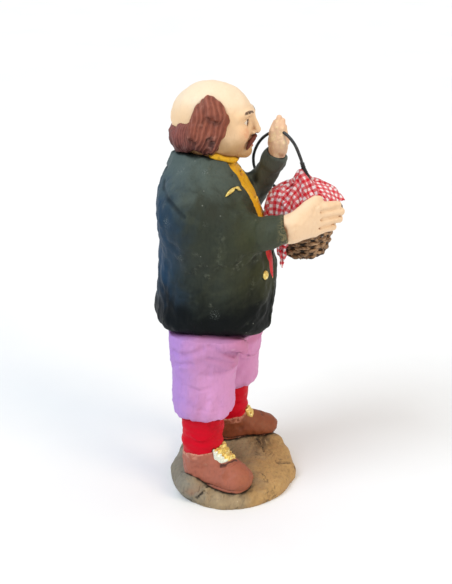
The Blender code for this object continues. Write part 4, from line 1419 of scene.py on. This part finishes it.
def tube_mesh(path, radius, sides, closed=False, flat=1.0, up=None):
    """Vertices and quads of a tube along a path; radius may vary. Returns co, tris and quads."""
    path = np.asarray(path, float)
    n = len(path)
    radius = np.asarray(radius, float) * np.ones(n)
    if closed:
        tan = np.roll(path, -1, 0) - np.roll(path, 1, 0)
    else:
        tan = np.gradient(path, axis=0)
    tan /= np.linalg.norm(tan, axis=1)[:, None]
    if up is None:
        ref = A(0, 0, 1) if abs(tan[0][2]) < 0.9 else A(1, 0, 0)
        side = np.empty_like(path)
        s = np.cross(ref, tan[0])
        s /= np.linalg.norm(s)
        side[0] = s
        for i in range(1, n):
            s = s - tan[i] * (s @ tan[i])
            s /= np.linalg.norm(s)
            side[i] = s
    else:
        up = np.asarray(up, float) * np.ones((n, 3))
        side = np.cross(up, tan)
        side /= np.linalg.norm(side, axis=1)[:, None]
    other = np.cross(tan, side)
    a = np.linspace(0, 2 * math.pi, sides, endpoint=False)
    ring = (np.cos(a)[None, :, None] * side[:, None, :] + flat * np.sin(a)[None, :, None] * other[:, None, :]) * radius[:, None, None]
    co = (path[:, None, :] + ring).reshape(-1, 3)
    i = np.arange(n if closed else n - 1)
    j = np.arange(sides)
    I, J = np.meshgrid(i, j, indexing="ij")
    I2, J2 = (I + 1) % n, (J + 1) % sides
    quads = np.stack([I * sides + J, I * sides + J2, I2 * sides + J2, I2 * sides + J], -1).reshape(-1, 4)
    tris = np.zeros((0, 3), int)
    if not closed:
        c0, c1 = len(co), len(co) + 1
        co = np.vstack([co, path[0] - tan[0] * radius[0] * 0.5, path[-1] + tan[-1] * radius[-1] * 0.5])
        tris = np.concatenate([np.stack([np.full(sides, c0), (j + 1) % sides, j], 1),
                               np.stack([np.full(sides, c1), (n - 1) * sides + j, (n - 1) * sides + (j + 1) % sides], 1)])
    return co, tris, quads


class Pile:
    """Several tubes gathered in one mesh, each a closed body, with values for their material."""

    def __init__(self):
        self.co, self.tris, self.quads, self.val, self.n = [], [], [], {"along": [], "strand": [], "round": [], "recess_shade": []}, 0

    def add(self, path, radius, sides, closed=False, flat=1.0, up=None, recess_shade=None):
        path = np.asarray(path, float)
        co, tris, quads = tube_mesh(path, radius, sides, closed, flat, up)
        self.tris.append(tris + self.n)
        self.quads.append(quads + self.n)
        step = np.concatenate([[0], np.cumsum(np.linalg.norm(np.diff(path, axis=0), axis=1))]) * 0.001
        along = np.repeat(step, sides)
        rnd = np.tile(np.arange(sides) / sides, len(path))
        extra = len(co) - len(along)
        along = np.concatenate([along, np.full(extra, step[-1])])
        rnd = np.concatenate([rnd, np.zeros(extra)])
        dp = np.zeros(len(co)) if recess_shade is None else np.concatenate([np.repeat(recess_shade, sides), np.zeros(extra)])
        self.co.append(co)
        self.val["along"].append(along)
        self.val["round"].append(rnd)
        self.val["strand"].append(np.full(len(co), len(self.co) * 1.37))
        self.val["recess_shade"].append(dp)
        self.n += len(co)

    def build(self, name, mat, place=None):
        co = np.concatenate(self.co)
        if place:
            co = place(co)
        obj = mesh_from(name, co, np.concatenate(self.tris), np.concatenate(self.quads), mat)
        for key, rows in self.val.items():
            attribute(obj, key, np.concatenate(rows))
        return obj


def weave_basket(mat):
    stakes = 16
    pile = Pile()
    g = np.random.default_rng(77)
    thick = 0.98
    rows_z = np.arange(-1.8, -B_DEPTH + 0.6, -1.95)
    for k, z in enumerate(rows_z):
        n = stakes * 8
        t = np.linspace(0, 2 * math.pi, n, endpoint=False) + 0.06 * math.sin(k * 2.1)
        share = float(basket_share(z))
        wave = np.cos(stakes / 2 * t + math.pi * (k % 2))
        wob = 0.16 * np.sin(3 * t + g.uniform(0, 6)) + 0.10 * np.sin(7 * t + g.uniform(0, 6))
        off = -1.15 + 0.74 * wave
        path = np.stack([(B_RX * share + off) * np.cos(t), (B_RY * share + off) * np.sin(t), z + wob + 0.12 * np.sin(stakes * t + k)], 1)
        r = thick * (1 + 0.10 * np.sin(5 * t + g.uniform(0, 6)) + 0.06 * np.sin(13 * t + k))
        up = np.stack([np.cos(t), np.sin(t), np.zeros(n)], 1)
        # the last value marks painted shade where the weaver passes behind a stake
        pile.add(path, r, 8, closed=True, flat=1.12, up=up, recess_shade=np.clip(-wave, 0, 1) * 0.8)
    for i in range(stakes):
        t = 2 * math.pi * (i + 0.5) / stakes
        z = np.linspace(0.6, -B_DEPTH + 0.25, 26)
        share = basket_share(z)
        c, s = math.cos(t), math.sin(t)
        path = np.stack([(B_RX * share - 0.95) * c, (B_RY * share - 0.95) * s, z], 1)
        foot = [(B_RX * q * c, B_RY * q * s, -B_DEPTH + 0.9) for q in (0.40, 0.28, 0.16)]
        pile.add(np.vstack([path, foot]), 0.62, 6)
    # bottom: a spiral of weavers over the stakes
    for k, share in enumerate(np.arange(0.06, 0.49, 0.078)):
        n = 96
        t = np.linspace(0, 2 * math.pi, n, endpoint=False)
        wave = np.cos(stakes / 2 * t + math.pi * (k % 2))
        path = np.stack([B_RX * share * np.cos(t), B_RY * share * np.sin(t), -B_DEPTH + 0.95 + 0.32 * wave], 1)
        # the last value marks painted shade where the weaver passes behind a stake
        pile.add(path, 0.62, 6, closed=True, recess_shade=np.clip(wave, 0, 1) * 0.6)
    # twisted rims at the mouth and the foot
    for z0, share, r, turns, lift in ((-0.35, 1.0, 0.95, 26, 0.62), (-B_DEPTH + 1.1, 0.545, 0.75, 18, 0.5)):
        for strand in (0.0, math.pi):
            n = 260
            t = np.linspace(0, 2 * math.pi, n, endpoint=False)
            a = turns * t + strand
            rr = -0.85 + lift * np.cos(a)
            path = np.stack([(B_RX * share + rr) * np.cos(t), (B_RY * share + rr) * np.sin(t), z0 + lift * np.sin(a)], 1)
            # the last value marks painted shade between the twisted strands
            pile.add(path, r, 7, closed=True, recess_shade=0.35 * (0.5 - 0.5 * np.cos(a)))
    return pile.build("basket_weave", mat, basket_lean)


WIRE_ROUTE = [(6.0, -48.0, 154.2), (5.4, -46.6, 160.0), (4.4, -43.4, 163.9), (3.5, -39.9, 166.7), (3.2, -36.7, 171.3),
              (3.8, -34.3, 177.1), (4.8, -32.0, 183.6), (7.0, -28.4, 190.4), (10.8, -22.8, 194.8), (15.0, -17.2, 194.0),
              (19.5, -11.8, 190.0), (24.0, -7.8, 183.9), (28.4, -5.7, 176.4), (32.6, -6.8, 168.6), (33.0, -13.0, 163.2),
              (27.4, -19.8, 160.2), (21.0, -24.8, 160.6), (17.0, -28.4, 159.2), (15.6, -29.8, 153.6)]
WIRE = smooth(WIRE_ROUTE, 52)
WIRE_R, WRAP_R = 0.95, 1.7


def bend_handle(mat, wrap_mat):
    fine = smooth(WIRE_ROUTE, 300)
    t = np.linspace(0, 1, len(fine))
    nicks = 1 + 0.03 * np.sin(t * 160) * np.sin(t * 37)
    pile = Pile()
    pile.add(fine, 0.84 * WIRE_R * nicks, 16)
    wire = pile.build("handle_wire", mat)
    # the wrapped ends: a coil of thin black cord wound close, on a thin core
    wrap = Pile()
    for t0, t1 in ((0.0, 0.315), (0.93, 1.0)):
        part = fine[(t >= t0) & (t <= t1)]
        part = part[::2] if len(part) > 40 else part
        length = np.concatenate([[0], np.cumsum(np.linalg.norm(np.diff(part, axis=0), axis=1))])
        pitch, cord = 0.92, 0.46
        turns = length[-1] / pitch
        n = int(turns * (13))
        s = np.linspace(0, length[-1], n)
        centre = np.stack([np.interp(s, length, part[:, k]) for k in range(3)], 1)
        tan = np.gradient(centre, axis=0)
        tan /= np.linalg.norm(tan, axis=1)[:, None]
        a = np.cross(tan, A(1.0, 0.2, 0.1))
        a /= np.linalg.norm(a, axis=1)[:, None]
        b = np.cross(tan, a)
        ang = 2 * math.pi * s / pitch
        swell = WRAP_R - cord + 0.10 * np.sin(s * 0.8)
        swell = swell - 0.55 * np.clip((s - length[-1] + 7.0) / 7.0, 0, 1) * (t0 == 0.0)
        ring = centre + (a * np.cos(ang)[:, None] + b * np.sin(ang)[:, None]) * swell[:, None]
        wrap.add(ring, cord, 6)
        wrap.add(part, WRAP_R - cord * 1.2 - (0.5 if t0 == 0.0 else 0.0), 12)
    return wire, wrap.build("handle_wrapping", wrap_mat)


# =====================================================================
# the cloth
# =====================================================================
APEX = A(-4.2, 2.4)                    # the peak beside the handle, in the basket's plan from the rim's centre
# the scrap's corners, laid flat, measured from the point that becomes the peak
CORNERS = A((-39.0, 38.6), (-23.6, -19.6), (10.6, -28.8), (28.3, 28.3))
SHARES = [0.0, 0.10, 0.20, 0.325, 0.50, 0.64, 0.855, 1.0]
REAR = [22.6, 18.0, 15.8, 14.5, 13.6, 12.9, 10.4, 7.6]
NEAR = [22.6, 20.8, 19.0, 16.6, 13.2, 10.4, 6.2, 3.2]
SLIT = [22.6, 17.0, 13.0, 9.0, 5.6, 3.6, 1.6, 0.6]
FRONT = [22.6, 19.6, 17.2, 15.0, 13.2, 12.0, 8.8, 4.6]
FAR = [22.6, 19.0, 16.6, 14.6, 12.8, 11.2, 8.0, 5.0]
BY_ANGLE = [(0, FAR), (45, REAR), (100, REAR), (140, REAR), (172, NEAR), (215, NEAR), (243, NEAR), (262, SLIT), (276, SLIT),
            (286, FRONT), (308, FRONT), (335, FAR), (360, FAR)]


def cloth_start(u, v):
    """Where the cloth is laid before it settles: a tent with its top beside the handle, over the rim and down outside it."""
    s = np.hypot(u, v).ravel()
    th = np.arctan2(v, u).ravel()
    rx, ry = B_RX + 1.2, B_RY + 1.2
    c, w = np.cos(th), np.sin(th)
    a = (c / rx) ** 2 + (w / ry) ** 2
    b = 2 * (APEX[0] * c / rx ** 2 + APEX[1] * w / ry ** 2)
    k = (APEX[0] / rx) ** 2 + (APEX[1] / ry) ** 2 - 1
    reach = (-b + np.sqrt(b * b - 4 * a * k)) / (2 * a)
    deg = np.degrees(th) % 360
    angles = np.array([row[0] for row in BY_ANGLE], float)
    rows = np.array([row[1] for row in BY_ANGLE])
    heights = np.stack([np.interp(deg, angles, rows[:, j]) for j in range(len(SHARES))], 1)
    tt = np.linspace(0, 1, 36)
    zz = np.stack([np.interp(tt, SHARES, h) for h in heights])
    seg = np.hypot(np.diff(tt)[None] * reach[:, None], np.diff(zz, axis=1))
    cum = np.concatenate([np.zeros((len(s), 1)), np.cumsum(seg, 1)], 1)
    over = np.maximum(s - cum[:, -1], 0)
    j = np.clip((cum < s[:, None]).sum(1) - 1, 0, len(tt) - 2)
    n = np.arange(len(s))
    f = np.clip((s - cum[n, j]) / np.maximum(cum[n, j + 1] - cum[n, j], 1e-6), 0, 1)
    t = tt[j] + f * (tt[j + 1] - tt[j])
    z = zz[n, j] + f * (zz[n, j + 1] - zz[n, j])
    jut = bell(deg - 292, 20)
    out = (1.2 * (1 - np.exp(-over / 2.5)) + 0.03 * over) * (1 - jut) + 0.55 * over * jut
    drop = over * (0.97 * (1 - jut) + 0.80 * jut)
    pleat = np.sin(7 * th + 0.8) * 0.45 + np.sin(11.3 * th + 2.0) * 0.4 + 0.3 * np.sin(17 * th)
    lift = pleat * 0.9 * np.clip(s / 16, 0, 1)
    hang = np.clip(over / 6, 0, 1)
    r = t * reach + out + lift * hang
    return np.stack([APEX[0] + r * c, APEX[1] + r * w, z - drop + lift * (1 - hang) * 0.8], 1)


def drape(mat):
    n = 78
    a = np.linspace(0, 1, n)
    S, T = np.meshgrid(a, a, indexing="ij")
    S, T = S[..., None], T[..., None]
    flat = (CORNERS[0] * (1 - S) + CORNERS[1] * S) * (1 - T) + (CORNERS[3] * (1 - S) + CORNERS[2] * S) * T
    X = basket_to_world(cloth_start(flat[..., 0], flat[..., 1]))
    X = settle(X, n, n, flat.reshape(-1, 2))
    return X, n, n, flat[..., 0], flat[..., 1]


def settle(X, nu, nv, flat):
    """A small cloth solver: keeps the weave's lengths, bends little, falls, and stays outside its neighbours."""
    idx = np.arange(nu * nv).reshape(nu, nv)
    groups = []

    def link(a, b, stiff):
        a, b = a.ravel(), b.ravel()
        if len(a):
            groups.append((a, b, np.linalg.norm(flat[a] - flat[b], axis=1), stiff))
    for p in (0, 1):
        link(idx[p:-1:2, :], idx[p + 1::2, :], 1.0)
        link(idx[:, p:-1:2], idx[:, p + 1::2], 1.0)
        link(idx[p:-1:2, :-1], idx[p + 1::2, 1:], 0.45)
        link(idx[p:-1:2, 1:], idx[p + 1::2, :-1], 0.45)
    for hop, stiff in ((2, 0.16), (4, 0.06)):
        for p in range(2 * hop):
            rows = np.arange(p, nu - hop, 2 * hop)
            if len(rows):
                link(idx[rows, :], idx[rows + hop, :], stiff)
                link(idx[:, rows], idx[:, rows + hop], stiff)
    X = X.copy()
    goal = X.copy()
    old = X.copy()
    rounds = 130
    for it in range(rounds):
        vel = (X - old) * 0.88
        old = X.copy()
        X = X + vel
        X[:, 2] -= 0.018
        cool = max(0.35, 1 - it / (rounds * 0.8))
        X += (goal - X) * (0.075 * cool)
        for _ in range(3):
            for a, b, rest, stiff in groups:
                d = X[b] - X[a]
                length = np.sqrt(np.einsum("ij,ij->i", d, d)) + 1e-9
                corr = ((length - rest) / length * 0.5 * stiff)[:, None] * d
                X[a] += corr
                X[b] -= corr
        if it % 3 == 0 or it > rounds - 5:
            X = push_out(X, WIRE[:12])
    return X


def block(P, near_wire):
    """Distance to everything that the cloth must stay outside."""
    c, s = math.cos(B_TILT), math.sin(B_TILT)
    R = np.array([[1, 0, 0], [0, c, -s], [0, s, c]])
    Q = (P - B_C) @ R
    bowl = smin(ball(Q, (0, 0, -1.0), (B_RX + 0.5, B_RY + 0.5, 9.0)),
                ball(Q, (0, 0, -6.0), (B_RX * 0.99 + 0.5, B_RY * 0.99 + 0.5, 20.0)), 1.0)
    tent = LOBES(Q)
    d = np.minimum(bowl, tent)
    d = np.minimum(d, thread(P, near_wire, WRAP_R + 0.1))
    near = P[:, 0] < 2
    hand = np.full(len(P), 9.0)
    if near.any():
        q = P[near]
        hand[near] = np.minimum(right_hand(q), drum(q, R_CUFF[0], R_CUFF[1], 8.2, 1.6))
    return np.minimum(d, hand)


def LOBES(Q):
    """The load under the cloth: a low heap, so that the sheet does not sink into the basket."""
    return ball(Q, (0.6, 2.0, -1.0), (B_RX - 2.5, B_RY - 3.0, 8.0))


def push_out(X, near_wire, gap=0.45):
    d = block(X, near_wire) - gap
    hit = d < 0
    if hit.any():
        P = X[hit]
        g = slopes(lambda q: block(q, near_wire), P, 0.12)
        g /= np.maximum(np.linalg.norm(g, axis=1), 1e-6)[:, None]
        X = X.copy()
        X[hit] = P - g * np.maximum(d[hit], -1.5)[:, None]
    return X


def cloth_object(mat):
    X, nu, nv, U, V = drape(mat)
    idx = np.arange(nu * nv).reshape(nu, nv)
    quads = np.stack([idx[:-1, :-1], idx[1:, :-1], idx[1:, 1:], idx[:-1, 1:]], -1).reshape(-1, 4)
    G = X.reshape(nu, nv, 3)

    def refine(a):
        """Twice the resolution, on a smooth curve."""
        for axis in (0, 1):
            a = np.moveaxis(a, axis, 0)
            n = len(a)
            pad = np.concatenate([2 * a[:1] - a[1:2], a, 2 * a[-1:] - a[-2:-1]])
            mid = (-pad[:-3] + 9 * pad[1:-2] + 9 * pad[2:-1] - pad[3:]) / 16
            out = np.empty((2 * n - 1,) + a.shape[1:])
            out[0::2] = a
            out[1::2] = mid
            a = np.moveaxis(out, 0, axis)
        return a
    G = refine(G)
    UV = refine(np.stack([U, V], -1))
    n1, n2 = G.shape[:2]
    du = np.gradient(G, axis=0)
    dv = np.gradient(G, axis=1)
    N = np.cross(du, dv)
    N /= np.maximum(np.linalg.norm(N, axis=2), 1e-9)[..., None]
    if N[n1 // 2, n2 // 2, 2] < 0:
        N = -N
    half = 0.24
    top, low = G + N * half, G - N * half
    idx = np.arange(n1 * n2).reshape(n1, n2)
    q_top = np.stack([idx[:-1, :-1], idx[1:, :-1], idx[1:, 1:], idx[:-1, 1:]], -1).reshape(-1, 4)
    q_low = q_top[:, ::-1] + n1 * n2
    ring = np.concatenate([idx[:-1, 0], idx[-1, :-1], idx[1:, -1][::-1], idx[0, 1:][::-1]])
    nxt = np.roll(ring, -1)
    q_side = np.stack([ring, ring + n1 * n2, nxt + n1 * n2, nxt], 1)
    co = np.concatenate([top.reshape(-1, 3), low.reshape(-1, 3)])
    obj = mesh_from("gingham_cloth", co, np.zeros((0, 3), int), np.concatenate([q_top, q_low, q_side]), mat)
    uv = np.concatenate([UV.reshape(-1, 2), UV.reshape(-1, 2)]) * 0.001
    c, w = math.cos(math.radians(42)), math.sin(math.radians(42))
    attribute(obj, "flat_u", c * uv[:, 0] + w * uv[:, 1] + 0.2)
    attribute(obj, "flat_v", -w * uv[:, 0] + c * uv[:, 1] + 0.2)
    # how far into a fold a point lies, for the painted shade there: the surface here against its neighbourhood
    wide = G.copy()
    for _ in range(30):
        for axis in (0, 1):
            wide = np.moveaxis(wide, axis, 0)
            wide[1:-1] = (wide[:-2] + wide[2:] + 2 * wide[1:-1]) / 4
            wide = np.moveaxis(wide, 0, axis)
    recess_shade = np.einsum("ijk,ijk->ij", wide - G, N).ravel()
    recess_shade = np.clip(recess_shade / 1.6, 0, 1)
    attribute(obj, "recess_shade", np.concatenate([recess_shade, np.clip(recess_shade + 0.2, 0, 1)]))
    return obj


# =====================================================================
# build
# =====================================================================
def eyeball(side, mat):
    nu, nv = 40, 24
    t = np.linspace(0, 2 * math.pi, nu, endpoint=False)
    p = np.linspace(0, math.pi, nv + 1)[1:-1]
    T, Pp = np.meshgrid(t, p, indexing="ij")
    local = np.stack([np.sin(Pp) * np.cos(T), -np.cos(Pp), np.sin(Pp) * np.sin(T)], -1).reshape(-1, 3)
    poles = np.array([(0, -1.0, 0), (0, 1.0, 0)])
    unit = np.vstack([local, poles])
    m = nv - 1
    quads, tris = [], []
    for i in range(nu):
        j = (i + 1) % nu
        for k in range(m - 1):
            quads.append((i * m + k, i * m + k + 1, j * m + k + 1, j * m + k))
        tris.append((len(local), i * m, j * m))
        tris.append((len(local) + 1, j * m + m - 1, i * m + m - 1))
    obj = mesh_from("eye_right" if side < 0 else "eye_left", EYES[side] + unit * EYE_R, tris, quads, mat)
    gaze = A(-0.02 * side, -1.0, -0.03)
    gaze /= np.linalg.norm(gaze)
    attribute(obj, "iris", np.arccos(np.clip(unit @ gaze, -1, 1)))
    spot = gaze + A(-0.12, 0, 0.14)
    spot /= np.linalg.norm(spot)
    attribute(obj, "glint", np.arccos(np.clip(unit @ spot, -1, 1)))
    return obj


def groove_mark(P):
    return strands(P)


def main():
    set_stage()
    M = make_materials()
    clay = []
    clay.append(shell("ground", base, (-42, -40, -1.5), (42, 41, 19), 0.75, M["ground"],
                      marks={"crack": crack_mark, "rust": lambda P: np.linalg.norm((P - A(-30.0, 18.5, 8.0)) * A(0.4, 0.35, 0.5), axis=1) / 2.8,
                             "soot": lambda P: np.minimum(np.linalg.norm((P - A(15.0, -14.0, 11.0)) * A(0.16, 0.20, 0.14), axis=1) / 2.2,
                                                          np.linalg.norm((P - A(2.0, 8.0, 9.0)) * A(0.16, 0.12, 0.2), axis=1) / 2.0)}))
    for side, word in ((-1, "right"), (1, "left")):
        x0, y0 = side * FOOT_X, FOOT_Y[side]
        clay.append(shell("shoe_" + word, shoe_at(side), (x0 - 22, y0 - 36, 2), (x0 + 22, y0 + 14, 36), 0.48, M["leather"],
                          marks={"top": lambda P, s=side: np.abs(sock_at(s)(P)), "slit": lambda P, s=side: slit_shade_mark(P, s)}))
        clay.append(shell("buckle_" + word, plate_at(side), (x0 - 16, y0 - 24, 14), (x0 + 16, y0 + 4, 36), 0.36, M["gold"],
                          # the pale mask is a painted highlight on the right buckle's corner
                          marks={"pale": lambda P, s=side: 5.2 - foot_frame(P, s)[:, 1] - 0.3 * (foot_frame(P, s)[:, 0] - 10) if s < 0 else np.full(len(P), 2.0)}))
        clay.append(shell("stocking_" + word, sock_at(side), (x0 - 14, y0 - 14, 22), (x0 + 14, y0 + 14, 58), 0.6, M["red"]))
    clay.append(shell("breeches", breeches, (-38, -18, 46), (38, 38, 106), 0.6, M["lilac"]))
    clay.append(shell("coat", coat, (-40.5, -31, 91), (40.5, 46, 191), 0.62, M["coat"], marks={"scuff": scuff_mask, "seam": crease_shade_mark}))
    clay.append(shell("waistcoat", waistcoat, (-18, -25, 113), (18, 31, 193), 0.5, M["waistcoat"], marks={"mark": vest_mark}))
    f, items = gilt()
    for k, (kind, c, B) in enumerate(items):
        clay.append(shell(f"gilt_{kind}_{k}", f, c - 6.5, c + 6.5, 0.26, M["gold"], marks={"pale": lambda P: np.full(len(P), 2.0)}))
    clay.append(shell("head", head, (-18, -14, 176), (18, 34, 224), 0.42, M["skin"],
                      marks={"brow": brow_mark, "lash": lash_mark, "lips": lip_mark, "blush": blush_mark}))
    clay.append(shell("hair", hair, (-23, -3, 182), (23, 36, 220), 0.42, M["hair"], main=False, marks={"groove": groove_mark}, edge=0.8))
    clay.append(shell("moustache", moustache, (-10, -13, 184), (10, -2, 199), 0.26, M["tache"],
                      edge=0.6))
    clay.append(shell("hand_right", right_hand, (-33, -57, 144), (-7, -20, 174), 0.34, M["hand"], edge=0.8))
    clay.append(shell("hand_left", left_hand, (5, -28, 174), (23, -10, 206), 0.34, M["hand"], edge=0.8))
    settle_shade_and_grime()
    clay += [eyeball(s, M["eye"]) for s in (-1, 1)]
    for o in clay:
        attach(o, "root")
        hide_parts("figure")

    weave = weave_basket(M["wicker"])
    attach(weave, "root")
    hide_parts("basket")
    for o in bend_handle(M["wire"], M["wrap"]):
        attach(o, "root")
        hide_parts("basket_handle")
    cloth = cloth_object(M["gingham"])
    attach(cloth, "root")
    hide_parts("cloth")

    me = bpy.data.meshes.new("floor")
    s = 6.0
    me.from_pydata([(-s, -s, 0), (s, -s, 0), (s, s, 0), (-s, s, 0)], [], [(0, 1, 2, 3)])
    floor = bpy.data.objects.new("floor", me)
    SCENE.collection.objects.link(floor)
    me.materials.append(M["floor"])


main()
